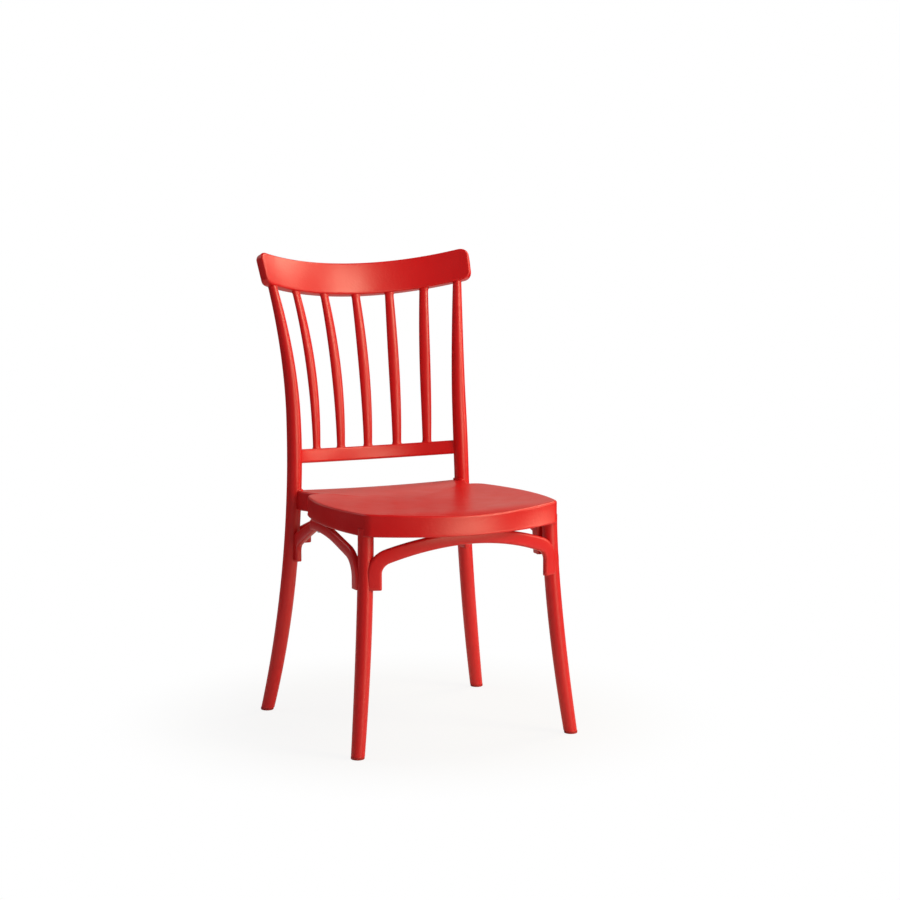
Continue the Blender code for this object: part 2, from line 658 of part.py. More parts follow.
def spindle_rings(number, grow=0.0, extra=0.0):
    """Oval sections up a spindle, which swells to its middle; extra lengthens both ends."""
    place = number - (SPINDLES - 1) / 2
    rail_rise = Vector((0, math.sin(RAIL_LEAN), math.cos(RAIL_LEAN)))
    crest_rise = Vector((0, math.sin(CREST_LEAN), math.cos(CREST_LEAN)))
    low_x = along_bow(RAIL_END, RAIL_BOW, place * SPINDLE_PITCH_LOW)
    high_x = along_bow(CREST_END, CREST_BOW, place * SPINDLE_PITCH_HIGH)
    low = back_curve(RAIL_END, RAIL_BOW, RAIL_LEAN, low_x) + rail_rise * (RAIL_HEIGHT / 2)
    high = back_curve(CREST_END, CREST_BOW, CREST_LEAN, high_x) - crest_rise * (CREST_HEIGHT / 2)
    rise = high.z - low.z
    below = (POCKET_DEPTH - GAP + extra) / rise
    above = (POCKET_DEPTH - GAP + extra) / rise
    _, face, _ = back_section(CREST_END, CREST_BOW, CREST_LEAN, high_x)
    face = Vector((face.x, face.y, 0)).normalized()
    wide_way = Vector((-face.y, face.x, 0))
    rings = []
    for share in [-below] + spread(0, 1, 9) + [1 + above]:
        back = (high.y - low.y) * max(share, 0.0) ** SPINDLE_SWEEP
        aside = (high.x - low.x) * max(share, 0.0) ** SPINDLE_SPREAD
        slope = SPINDLE_SWEEP * max(share, 0.0) ** (SPINDLE_SWEEP - 1) * (high.y - low.y) / rise
        centre = Vector((low.x + aside, low.y + back, low.z + rise * share))
        swell = math.sin(math.pi * min(max(share, 0.0), 1.0))
        wide = SPINDLE_WIDTH_END + (SPINDLE_WIDTH_MIDDLE - SPINDLE_WIDTH_END) * swell + 2 * grow
        deep = SPINDLE_DEPTH_END + (SPINDLE_DEPTH_MIDDLE - SPINDLE_DEPTH_END) * swell + 2 * grow
        deep *= math.hypot(1, slope)
        rings.append(circle(centre, wide_way, face, wide / 2, deep / 2, SPINDLE_SIDES))
    return rings


def build_back(posts):
    crest = solid("crest_rail", crest_rings(), RED_PLASTIC)
    rail = solid("lower_back_rail", rail_rings(RAIL_END.x - LEG_RADIUS + RAIL_TENON), RED_PLASTIC)
    for number in range(SPINDLES):
        solid(f"spindle_{number + 1}", spindle_rings(number), RED_PLASTIC)
        pocket = f"spindle_pocket_{number + 1}"
        shape = tool(pocket, spindle_rings(number, GAP, GAP))
        combine(crest, shape, "DIFFERENCE")
        combine(rail, shape, "DIFFERENCE")
    heights = spread(POST_TOP_Z - CREST_THICKNESS, POST_TOP_Z + POCKET_DEPTH * math.cos(CREST_LEAN) + GAP, 4)
    mortise = tool("rail_mortise", rail_rings(RAIL_END.x - LEG_RADIUS + RAIL_TENON + GAP, GAP))
    for label, side in SIDES:
        cut(crest, f"post_pocket_{label}", leg_rings(post_axis, post_radius, heights, side, GAP))
        combine(posts[label], mortise, "DIFFERENCE")


# Arched braces


def arch_half(reach, crown_z, crown_radius, end_z, bend, flank=None):
    """Half of an arch's middle line, foot to crown: (distance from the crown, height).

    The strip rises up the leg, bends over, runs straight at the flank's slope and curves over the crown.
    Without a flank the bend runs straight into the crown's curve.
    """
    bend_reach = reach - bend
    centre_z = crown_z - crown_radius
    slope = math.asin(bend_reach / (crown_radius - bend)) if flank is None else flank
    turn = math.pi / 2 - slope
    curve_end = (crown_radius * math.sin(slope), centre_z + crown_radius * math.cos(slope))
    bend_end = bend_reach + bend * math.sin(slope)
    bend_z = curve_end[1] - (bend_end - curve_end[0]) * math.tan(slope) - bend * math.cos(slope)
    line = [(reach, end_z)]
    for t in spread(0, turn, 6):
        line.append((bend_reach + bend * math.cos(t), bend_z + bend * math.sin(t)))
    if flank is not None:
        start = Vector(line[-1])
        line += [tuple(start.lerp(Vector(curve_end), share)) for share in spread(0, 1, 6)[1:-1]]
    steps = spread(turn, math.pi / 2, 9)
    for t in steps[1:] if flank is None else steps:
        line.append((crown_radius * math.cos(t), centre_z + crown_radius * math.sin(t)))
    return line


def arch_rings(halves, plan, widths=(ARCH_WIDTH, ARCH_WIDTH)):
    """Sections along an arch; plan turns a distance from the crown into a place in plan."""
    first, second = halves
    line = [(-s, z) for s, z in first] + [(s, z) for s, z in reversed(second)][1:]
    step = 0.001
    rings = []
    for i, (s, z) in enumerate(line):
        before = line[max(i - 1, 0)]
        after = line[min(i + 1, len(line) - 1)]
        level_run = (plan(s + step) - plan(s - step)).normalized()
        way = Vector((after[0] - before[0], after[1] - before[1])).normalized()
        run = Vector((level_run.x * way.x, level_run.y * way.x, way.y))
        across = Vector((-level_run.y, level_run.x, 0))
        at = plan(s)
        centre = Vector((at.x, at.y, z))
        reach = abs(s) / (first if s < 0 else second)[0][0]
        width = ARCH_CROWN_WIDTH + (widths[s > 0] - ARCH_CROWN_WIDTH) * reach**ARCH_SWELL
        rings.append(rounded_box(centre, across, run.cross(across), ARCH_THICKNESS, width, ARCH_EDGE))
    return rings


LEG_AT_ARCH = front_axis(ARCH_END_Z)
POST_AT_ARCH = post_axis(ARCH_END_Z)
LAP_MIDDLE = ARCH_LAP - ARCH_WIDTH / 2


def front_arch():
    reach = LEG_AT_ARCH.x - LAP_MIDDLE
    half = arch_half(reach, FRONT_ARCH_CROWN_Z, FRONT_ARCH_RADIUS, ARCH_END_Z, ARCH_BEND)

    def plan(s):
        bow = FRONT_ARCH_BOW * (1 - (s / reach) ** 2)
        return Vector((s, LEG_AT_ARCH.y - FRONT_ARCH_SET - bow))

    return (half, half), plan


def rear_half(reach):
    """Half of the rear arch's middle line: a plain arc from the axis of the post to the crown."""
    radius = (reach**2 + REAR_ARCH_RISE**2) / (2 * REAR_ARCH_RISE)
    centre_z = REAR_ARCH_CROWN_Z - radius
    turns = spread(math.asin(reach / radius), 0, 12)
    return [(radius * math.sin(t), centre_z + radius * math.cos(t)) for t in turns]


def rear_arch():
    post = post_axis(REAR_ARCH_END_Z)
    half = rear_half(post.x)

    def plan(s):
        bow = REAR_ARCH_BOW * (1 - (s / post.x) ** 2)
        return Vector((s, post.y + REAR_ARCH_SET - bow))

    return (half, half), plan


def side_arch():
    """The right side arch: it runs under the seat's side, then sweeps in past the shoulder to the post."""
    front_y = LEG_AT_ARCH.y + LAP_MIDDLE
    rear_y = POST_AT_ARCH.y - LAP_MIDDLE
    ends = (ARCH_END_Z, SIDE_ARCH_BEND)
    front_run = SIDE_ARCH_CROWN_Y - front_y
    rear_run = rear_y - SIDE_ARCH_CROWN_Y
    front = arch_half(front_run, SIDE_ARCH_CROWN_Z, SIDE_ARCH_RADIUS_FRONT, *ends, SIDE_ARCH_FLANK_FRONT)
    rear = arch_half(rear_run, SIDE_ARCH_CROWN_Z, SIDE_ARCH_RADIUS_REAR, *ends, SIDE_ARCH_FLANK_REAR)
    front_x = LEG_AT_ARCH.x + SIDE_ARCH_SET_FRONT
    middle_x = SEAT_HALF_WIDTH - SIDE_ARCH_INSET
    rear_x = POST_AT_ARCH.x - SIDE_ARCH_SET_REAR
    sweep_from = SHOULDER_Y - SIDE_ARCH_SWEEP_FROM
    sweep_to = SHOULDER_Y - SIDE_ARCH_SWEEP_TO

    def plan(s):
        y = SIDE_ARCH_CROWN_Y + s
        if y < sweep_from:
            share = (sweep_from - y) / (sweep_from - front_y)
            return Vector((middle_x + (front_x - middle_x) * share**2, y))
        share = min((y - sweep_from) / (sweep_to - sweep_from), 1.0)
        return Vector((middle_x + (rear_x - middle_x) * share**2 * (3 - 2 * share), y))

    return (front, rear), plan


def arch_crowns():
    """Name and place of the middle of each arch's crown."""
    front = front_arch()[1](0)
    rear = rear_arch()[1](0)
    side = side_arch()[1](0)
    return [
        ("front", Vector((front.x, front.y, FRONT_ARCH_CROWN_Z))),
        ("rear", Vector((rear.x, rear.y, REAR_ARCH_CROWN_Z))),
        ("left", Vector((-side.x, side.y, SIDE_ARCH_CROWN_Z))),
        ("right", Vector((side.x, side.y, SIDE_ARCH_CROWN_Z))),
    ]


def dowel_place(leg_axis, radius, strip, way, z):
    """Middle of a dowel: on the leg's surface, as near the middle of the strip as the leg allows."""
    axis = leg_axis(z)
    square = Vector((-way.y, way.x, 0))
    limit = radius(z) * DOWEL_LIMIT
    aside = max(-limit, min(limit, (strip - axis).dot(square)))
    return axis + square * aside + way * math.sqrt(radius(z) ** 2 - aside**2)


def add_dowel(name, place, way, pieces):
    """A dowel across the seam between an arch and a leg, in a hole through both."""
    half = DOWEL_LENGTH / 2
    stages = ((-half, DOWEL_RADIUS), (half, DOWEL_RADIUS))
    solid(name, rod(place, way, stages), GLIDE_PLASTIC)
    hole = ((-half - GAP, DOWEL_RADIUS + GAP), (half + GAP, DOWEL_RADIUS + GAP))
    shape = tool(f"{name}_hole", rod(place, way, hole))
    for piece in pieces:
        combine(piece, shape, "DIFFERENCE")


def build_arches(legs, posts, seat):
    span = (LUG_BOTTOM - 2 * ARCH_WIDTH - ARCH_LAP, SKIRT_BOTTOM + ARCH_WIDTH)
    heights = spread(*span, 6)
    tools = {}
    for label, side in SIDES:
        rings = leg_rings(front_axis, leg_radius, heights, side, GAP)
        tools["front", label] = tool(f"leg_cope_{label}", rings)
        rings = leg_rings(post_axis, post_radius, heights, side, GAP)
        tools["rear", label] = tool(f"post_cope_low_{label}", rings)
    arches = {}
    for end, parts in (("front", front_arch()), ("rear", rear_arch())):
        arch = solid(f"arch_{end}", arch_rings(*parts), RED_PLASTIC)
        arches[end] = arch
        for label, side in SIDES:
            combine(arch, tools[end, label], "DIFFERENCE")
    for label, side in SIDES:
        rings = arch_rings(*side_arch(), (ARCH_WIDTH, SIDE_ARCH_REAR_WIDTH))
        arch = solid(f"arch_{label}", mirrored(rings, side), RED_PLASTIC)
        arches[label] = arch
        for end in ("front", "rear"):
            combine(arch, tools[end, label], "DIFFERENCE")
    for label, side in SIDES:
        add_arch_dowels(label, side, arches, legs[label], posts[label])
    for label, place in arch_crowns():
        add_crown_screw(label, place, arches[label], seat)
    return arches


def add_arch_dowels(label, side, arches, leg, post):
    """The four dowels on one side of the chair: two in the front leg, two in the rear post."""
    inward = Vector((-1, 0, 0))
    z = ARCH_END_Z + DOWEL_RISE
    front_parts, front_plan = front_arch()
    rear_parts, rear_plan = rear_arch()
    rear_z = rear_parts[1][1][1]
    side_parts, side_plan = side_arch()
    ends = [
        ("front", front_axis, leg_radius, front_plan(front_parts[1][0][0]), inward, z, leg),
        ("rear", post_axis, post_radius, rear_plan(rear_parts[1][0][0]), inward, rear_z, post),
        (label, front_axis, leg_radius, side_plan(-side_parts[0][0][0]), Vector((0, 1, 0)), z, leg),
        (label, post_axis, post_radius, side_plan(side_parts[1][0][0]), Vector((0, -1, 0)), z, post),
    ]
    for i, (arch, axis, radius, strip, way, height, piece) in enumerate(ends):
        place = dowel_place(axis, radius, Vector((strip.x, strip.y, height)), way, height)
        place.x *= side
        turned = Vector((way.x * side, way.y, 0))
        add_dowel(f"arch_dowel_{label}_{i + 1}", place, turned, (arches[arch], piece))


def add_bolt(name, head, way, length, recess, pieces):
    """A bolt with its head at a point, pointing along way, and its hole through the pieces."""
    stages = ((-BOLT_HEAD, BOLT_HEAD_RADIUS * BOLT_END_FACE), (-BOLT_HEAD * BOLT_HEAD_WALL, BOLT_HEAD_RADIUS))
    stages += ((-GAP, BOLT_HEAD_RADIUS), (-GAP, BOLT_RADIUS), (length, BOLT_RADIUS))
    solid(name, rod(head, way, stages), ZINC_STEEL)
    wide = BOLT_HEAD_RADIUS + GAP
    slim = BOLT_RADIUS + GAP
    hole = ((-BOLT_HEAD - recess, wide), (0.0, wide), (0.0, slim), (length + GAP, slim))
    shape = tool(f"{name}_hole", rod(head, way, hole))
    for piece in pieces:
        combine(piece, shape, "DIFFERENCE")


def add_crown_screw(label, place, arch, seat):
    """A screw up through the crown of an arch into its boss under the seat."""
    head = place + UP * (BOLT_HEAD - ARCH_CROWN_WIDTH / 2)
    length = ARCH_CROWN_WIDTH - BOLT_HEAD + CROWN_SCREW_RISE
    add_bolt(f"arch_screw_{label}", head, UP, length, BOLT_HEAD, (arch, seat))


def build_cross_bolts(legs, posts, seat):
    """Bolts that run outwards through the seat's blocks into the front legs and the posts."""
    for label, side in SIDES:
        out = Vector((side, 0, 0))
        for name, axis, radius, piece in (
            ("leg_bolt", front_axis(SKIRT_BOTTOM), LEG_TENON_RADIUS, legs[label]),
            ("post_bolt", post_axis(BOLT_Z), post_radius(BOLT_Z), posts[label]),
        ):
            head = Vector((side * (axis.x - BLOCK_REACH + BOLT_HEAD), axis.y, BOLT_Z))
            length = BLOCK_REACH - BOLT_HEAD - radius + BOLT_BITE
            add_bolt(f"{name}_{label}", head, out, length, BOLT_HEAD, (seat, piece))


# Stacking lugs


def lug_rings(near, far, front, rear, top):
    """An upright block with rounded lower edges, between two x values and two y values."""
    centre = Vector(((near + far) / 2, (front + rear) / 2, 0))
    size = (abs(far - near), abs(rear - front))
    axes = (Vector((1, 0, 0)), Vector((0, 1, 0)))
    rings = []
    turn = LUG_ROUND * ROUND_MIDDLE
    for rise, shrink in ((0.0, LUG_ROUND), (turn, turn), (LUG_ROUND, 0.0)):
        at = centre + UP * (LUG_BOTTOM + rise)
        rings.append(rounded_box(at, *axes, size[0] - 2 * shrink, size[1] - 2 * shrink, LUG_ROUND))
    rings.append(rounded_box(centre + UP * top, *axes, *size, LUG_ROUND))
    return rings


def build_front_lug(label, side, seat):
    """A block beside the front leg, hung from the seat by a bolt."""
    leg = front_axis(SKIRT_BOTTOM)
    near, far, front, rear = FRONT_LUG
    bounds = (leg.x - near, leg.x - far, leg.y + front, leg.y + rear)
    rings = lug_rings(*bounds, SKIRT_BOTTOM - GAP)
    lug = solid(f"stacking_lug_front_{label}", mirrored(rings, side), RED_PLASTIC)
    heights = spread(LUG_BOTTOM - ARCH_WIDTH, SKIRT_BOTTOM + ARCH_WIDTH, 4)
    cut(lug, f"lug_cope_{label}", leg_rings(front_axis, leg_radius, heights, side, GAP))
    x = side * (bounds[0] + bounds[1]) / 2
    head = Vector((x, (bounds[2] + bounds[3]) / 2, LUG_BOTTOM + 2 * BOLT_HEAD))
    length = SKIRT_BOTTOM - head.z + LUG_BOLT_RISE
    add_bolt(f"lug_bolt_front_{label}", head, UP, length, 2 * BOLT_HEAD, (lug, seat))


def build_rear_lug(label, side, arch):
    """A block on the inner face of the side arch, bolted to it."""
    near = POST_AT_ARCH.x - SIDE_ARCH_SET_REAR - ARCH_THICKNESS / 2 - GAP
    far = near - REAR_LUG_THICKNESS
    front = POST_AT_ARCH.y - REAR_LUG_FORWARD
    rear = front + REAR_LUG_LENGTH
    rings = lug_rings(near, far, front, rear, LUG_BOTTOM + REAR_LUG_HEIGHT)
    lug = solid(f"stacking_lug_rear_{label}", mirrored(rings, side), RED_PLASTIC)
    x = side * (far + BOLT_HEAD)
    head = Vector((x, (front + rear) / 2, LUG_BOTTOM + REAR_LUG_HEIGHT / 2))
    length = REAR_LUG_THICKNESS - BOLT_HEAD + LUG_BOLT_BITE
    add_bolt(f"lug_bolt_rear_{label}", head, Vector((side, 0, 0)), length, BOLT_HEAD, (lug, arch))


def centre_chair():
    """Move the chair so that the middle of its outline in plan stands on the origin."""
    back = max(point.y for ring in crest_rings() for point in ring)
    chair.location.y = -(back - SEAT_FRONT) / 2


seat_shell = build_seat()
front_legs = {label: build_front_leg(label, side) for label, side in SIDES}
rear_posts = {label: build_rear_post(label, side) for label, side in SIDES}
for foot_end, foot_place in (("front", FRONT_FOOT), ("rear", REAR_FOOT)):
    for foot_label, foot_side in SIDES:
        build_glide(f"foot_glide_{foot_end}_{foot_label}", foot_place, foot_side)
build_back(rear_posts)
arched_braces = build_arches(front_legs, rear_posts, seat_shell)
build_cross_bolts(front_legs, rear_posts, seat_shell)
for lug_label, lug_side in SIDES:
    build_front_lug(lug_label, lug_side, seat_shell)
    build_rear_lug(lug_label, lug_side, arched_braces[lug_label])
centre_chair()
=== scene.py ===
"""Looks of a red moulded plastic stacking chair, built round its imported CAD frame.

Metres, +Z up. The chair faces -Y, and left is -X as seen from the front. Plan sizes are measured from
the middle of the four feet, and the frame's own foot positions then say where that middle stands.
"""

import json
import math

import bmesh
import bpy
from bpy.props import FloatProperty, FloatVectorProperty, IntProperty, PointerProperty
from bpy.types import Operator, Panel, PropertyGroup
from mathutils import Matrix, Vector


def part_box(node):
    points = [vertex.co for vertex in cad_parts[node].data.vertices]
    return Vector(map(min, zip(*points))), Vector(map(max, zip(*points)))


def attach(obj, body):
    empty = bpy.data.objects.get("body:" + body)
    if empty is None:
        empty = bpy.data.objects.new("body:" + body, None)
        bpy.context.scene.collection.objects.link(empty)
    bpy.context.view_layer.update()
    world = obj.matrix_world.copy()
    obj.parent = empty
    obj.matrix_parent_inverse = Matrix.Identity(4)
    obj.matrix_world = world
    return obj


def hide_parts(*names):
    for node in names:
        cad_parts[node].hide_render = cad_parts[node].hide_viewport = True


bl_info = {
    "name": "Stacking Chair Looks",
    "version": (1, 0, 0),
    "blender": (4, 5, 0),
    "location": "3D View > Sidebar > Chair",
    "description": "Builds the visible pieces of a moulded stacking chair on its CAD frame",
    "category": "Object",
}

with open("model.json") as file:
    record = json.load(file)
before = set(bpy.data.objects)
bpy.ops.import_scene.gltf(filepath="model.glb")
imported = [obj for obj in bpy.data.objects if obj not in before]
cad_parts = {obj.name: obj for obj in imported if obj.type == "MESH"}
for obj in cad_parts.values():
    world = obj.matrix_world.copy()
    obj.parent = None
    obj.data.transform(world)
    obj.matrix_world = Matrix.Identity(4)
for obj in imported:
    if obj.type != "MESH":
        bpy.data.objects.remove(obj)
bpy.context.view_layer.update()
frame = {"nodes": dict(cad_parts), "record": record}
FEET = [mount["pos_m"] for mount in frame["record"]["mounts"]]
FEET_MIDDLE = Vector((0, sum(place[1] for place in FEET) / len(FEET), 0))
SIDES = (("left", -1), ("right", 1))
UP = Vector((0, 0, 1))


# Sizes and colours that a user would change


def linear(hex_colour):
    """An sRGB hex colour as linear red, green and blue."""
    values = [int(hex_colour[i : i + 2], 16) / 255 for i in (0, 2, 4)]
    return tuple(v / 12.92 if v <= 0.04045 else ((v + 0.055) / 1.055) ** 2.4 for v in values)


def length(name, default, text):
    """A size in metres."""
    return FloatProperty(name=name, description=text, default=default, unit="LENGTH", precision=4)


def lengths(name, default, text):
    """A group of sizes or places in metres."""
    named = {"name": name, "description": text}
    return FloatVectorProperty(**named, default=default, size=len(default), unit="LENGTH", precision=4)


def angle(name, degrees, text):
    """An angle, given in degrees."""
    return FloatProperty(name=name, description=text, default=math.radians(degrees), subtype="ANGLE")


def number(name, default, text):
    """A plain number, such as a share or a power."""
    return FloatProperty(name=name, description=text, default=default, precision=3)


def powers(name, default, text):
    """Two exponents, which say how late a curve leaves its start."""
    return FloatVectorProperty(name=name, description=text, default=default, size=2)


def colour(name, hex_colour, text):
    """A colour, given as an sRGB hex value."""
    named = {"name": name, "description": text, "default": linear(hex_colour)}
    return FloatVectorProperty(**named, size=3, subtype="COLOR", min=0, max=1)


class SeatSizes(PropertyGroup):
    """The moulded seat"""

    height: length("Height", 0.4565, "Top of the seat at its front rim")
    fall: length("Fall", 0.008, "How much lower the rear rim is")
    skirt: length("Skirt level", 0.415, "Where the legs, lugs and blocks meet the seat")
    edge: length("Skirt edge", 0.4132, "Height of the skirt's lower edge at the front corners")
    corner_y: length("Corner place", -0.19, "Where those corners are, front to back")
    front_drop: length("Front drop", 0.0022, "How much lower the edge is at the front middle")
    rear_drop: length("Rear drop", 0.0029, "How much lower the edge is at the rear")
    wall: length("Skirt wall", 0.0035, "Thickness of the skirt")
    bead: length("Bead", 0.0007, "How far the bead along the skirt's lower edge stands out")
    panel: length("Panel", 0.004, "Thickness of the sitting panel")
    rim: length("Rim", 0.0045, "Rounding of the upper edge")
    front_dip: length("Front dip", 0.0085, "How far the seat has sunk at the front middle")
    dish: length("Dish", 0.006, "How far the middle lies below the rim")
    dish_run: length("Dish run", 0.135, "How far in from the rim the seat keeps sinking")
    dip: length("Rear dip", 0.0035, "How far the middle of the rear edge lies below the rim")
    front: length("Front", 0.260, "Front edge, forward of the middle of the feet")
    front_bow: length("Front bow", 0.385, "Radius of the front edge in plan")
    half_width: length("Half width", 0.219, "At the widest point")
    widest: length("Widest place", -0.066, "Where the seat is widest, front to back")
    side_bow: length("Side bow", 0.54, "Radius of the side edge in plan")
    corner: length("Front corner", 0.030, "Rounding of the front corners in plan")
    lobe: length("Rear corner", 0.035, "Rounding of the rear side corners in plan")
    rear: length("Rear", 0.190, "Rear edge, behind the middle of the feet")
    shoulder: length("Shoulder", 0.116, "Where the wide part of the seat ends")
    notch: length("Notch", 0.168, "Half width of the seat behind the shoulder")
    notch_round: length("Notch rounding", 0.004, "Rounding of the inner corner behind the shoulder")
    rib_wall: length("Rib wall", 0.003, "Thickness of the ribs under the panel")
    rib_depth: length("Rib depth", 0.012, "Depth of the ribs under the panel")
    rib_edge: length("Rib edge", 0.0006, "Rounding of the ribs' edges")
    rib_aside: length("Rib place", 0.085, "Ribs from front to back, out from the middle")
    rib_ends: lengths("Rib ends", (0.016, 0.003), "Where those ribs end, in from the front and rear edges")
    rib_rows: lengths("Rib rows", (-0.120, 0.060), "Ribs from side to side, front to back")
    collar: length("Collar", 0.0022, "Radius of the bead where a post rises out of the seat")


class LegSizes(PropertyGroup):
    """Front legs, rear posts and foot caps"""

    radius: length("Radius", 0.015, "Of a leg at full thickness")
    foot_radius: length("Foot radius", 0.013, "Of a leg at the floor")
    front_top: lengths("Front top", (0.193, -0.1845), "Axis of a front leg at the skirt")
    front_foot: lengths("Front foot", (0.2252, -0.2164), "Axis of a front leg at the floor")
    front_splay: powers("Front splay", (1.6, 1.45), "How late a front leg swings out, sideways and forwards")
    waist: lengths("Waist", (0.1835, 0.600), "Narrowest half width between the posts, and its height")
    upright: lengths("Upright", (0.1857, 0.455), "Most forward place of a post, and its height")
    rear_foot: lengths("Rear foot", (0.2363, 0.2164), "Axis of a post at the floor")
    post_top: lengths("Post top", (0.2044, 0.2454, 0.851), "Axis of a post under the crest rail")
    rear_splay: powers("Rear splay", (2.13, 2.3), "How late a post swings out and back below its waist")
    back_splay: powers("Back splay", (1.83, 2.1), "How late a post swings out and back above its waist")
    top_radius: length("Top radius", 0.009, "Of a post under the crest rail")
    taper_from: length("Taper height", 0.52, "The post thins from here up")
    taper: number("Taper", 1.6, "How late the post thins")
    into_seat: length("Into seat", 0.012, "How far a front leg runs up inside the skirt")
    into_crest: length("Into crest", 0.009, "How far a post runs up inside the crest rail")
    spare: length("Spare", 0.004, "How far a leg is drawn past the floor before it is cut level")
    glide: length("Glide height", 0.005, "Of the foot caps")
    glide_edge: length("Glide edge", 0.0016, "Rounding of a foot cap at the floor")
    glide_line: length("Glide line", 0.0004, "Rounding of a foot cap where it meets the leg")
    sides: IntProperty(name="Sides", description="Of a round leg", default=56, min=12)


class BackSizes(PropertyGroup):
    """Crest rail, lower rail and spindles"""

    crest_height: length("Crest height", 0.0682, "Of the top rail")
    crest_thick: length("Crest thickness", 0.020, "Of the top rail")
    crest_half: length("Crest half length", 0.2317, "From its middle to its end")
    corner_high: length("Upper corner", 0.017, "Rounding of the crest's upper corners")
    corner_low: length("Lower corner", 0.014, "Rounding of the crest's lower corners")
    crest_edge: length("Crest edge", 0.0045, "Rounding of the crest's long edges")
    crest_nose: length("Crest nose", 0.003, "Rounding of the front of the crest's ends")
    crest_heel: length("Crest heel", 0.010, "Rounding of the rear of the crest's ends")
    rear_corner: length("Rear corner", 0.027, "Rounding of the crest's upper corners at the rear")
    crest_bow: length("Crest bow", 0.062, "How far its middle lies behind the posts")
    crest_lean: angle("Crest lean", 24, "How far it leans back")
    flare: number("Crest flare", 0.022, "How much longer its upper edge is than its lower, as a share")
    rail_z: length("Rail height", 0.516, "Middle of the lower rail at the posts")
    rail_height: length("Rail depth", 0.028, "Of the lower rail, bottom to top")
    rail_thick: length("Rail thickness", 0.017, "Of the lower rail")
    rail_edge: length("Rail edge", 0.0045, "Rounding of the lower rail's edges")
    rail_bow: length("Rail bow", 0.054, "How far its middle lies behind the posts")
    rail_lean: angle("Rail lean", 9, "How far it leans back")
    rail_sunk: length("Rail sunk", 0.010, "How far its ends run into the posts")
    spindles: IntProperty(name="Spindles", description="How many", default=5, min=2)
    pitch_low: length("Lower pitch", 0.0628, "Spindle spacing along the lower rail")
    pitch_high: length("Upper pitch", 0.0730, "Spindle spacing along the crest")
    sweep: number("Sweep", 1.8, "How late a spindle leans back")
    spread: number("Spread", 2.4, "How late a spindle leans sideways")
    wide: length("Spindle width", 0.0225, "At its middle")
    deep: length("Spindle depth", 0.0150, "At its middle")
    neck: number("Spindle neck", 0.80, "Thickness at its ends, as a share of its middle")
    web: length("Web", 0.006, "Length of the fillet where a spindle enters a rail")
    web_swell: number("Web swell", 0.14, "How much thicker it is there, as a share")
    spindle_sunk: length("Spindle sunk", 0.008, "How far its ends run into the rails")
    spindle_sides: IntProperty(name="Spindle sides", description="Of a spindle", default=40, min=12)


class ArchSizes(PropertyGroup):
    """The four arched braces"""

    front_width: lengths("Front width", (0.0245, 0.028), "Of the front strip at its crown and its ends")
    side_width: lengths("Side width", (0.0205, 0.0235, 0.030), "At its crown, front end and rear end")
    rear_width: lengths("Rear width", (0.0205, 0.0235), "Of the rear strip at its crown and its ends")
    swell: powers("Swell", (1.2, 3.0), "How late the front strip and the others widen towards their ends")
    thick: length("Thickness", 0.0120, "Of the strip")
    edge: lengths("Edge", (0.0052, 0.0038), "Rounding of the edges of the front strip and of the others")
    cut: length("Cut edge", 0.0008, "Rounding of its square-cut ends")
    aside: length("Aside", 0.01305, "Leg axis to the middle of the strip")
    end_z: length("End height", 0.312, "Lower ends of the front and side strips")
    post_end_z: length("Post end height", 0.308, "Lower ends of the side strips at the posts")
    front_crown: length("Front crown", 0.4033, "Height of the front strip's middle at its crown")
    front_radius: length("Front radius", 0.470, "Of the front crown")
    front_bend: length("Front bend", 0.035, "Radius where the front strip turns down the leg")
    front_set: length("Front set", 0.0130, "Middle of the strip, forward of the leg axis")
    front_bow: length("Front bow", 0.0320, "How far its middle stands forward of its ends")
    side_crown: lengths("Side crown", (0.012, 0.4043), "Place and height of a side strip's crown")
    side_radius: lengths("Side radius", (0.400, 0.180), "Of the crown, to its front and to its rear")
    side_bend: lengths("Side bend", (0.048, 0.030), "Where a side strip turns down the leg and the post")
    front_flank: angle("Front flank", 14, "Slope of a side strip before its crown")
    rear_flank: angle("Rear flank", 25, "Slope of a side strip behind its crown")
    side_middle: length("Side middle", 0.2085, "Middle of a side strip under the seat's edge")
    side_set: lengths("Side set", (0.0118, 0.0078), "Outward of the leg's axis, and inward of the post's")
    side_sweep: lengths("Side sweep", (0.031, 0.0743), "Where a side strip starts and ends its sweep inwards")
    rear_crown: length("Rear crown", 0.404, "Height of the rear strip's middle at its crown")
    rear_rise: length("Rear rise", 0.053, "From its ends on the posts to its crown")
    rear_set: length("Rear set", 0.004, "Ends of the rear strip, behind the post's axis")
    rear_bow: length("Rear bow", 0.0125, "How far its middle stands forward of its ends")


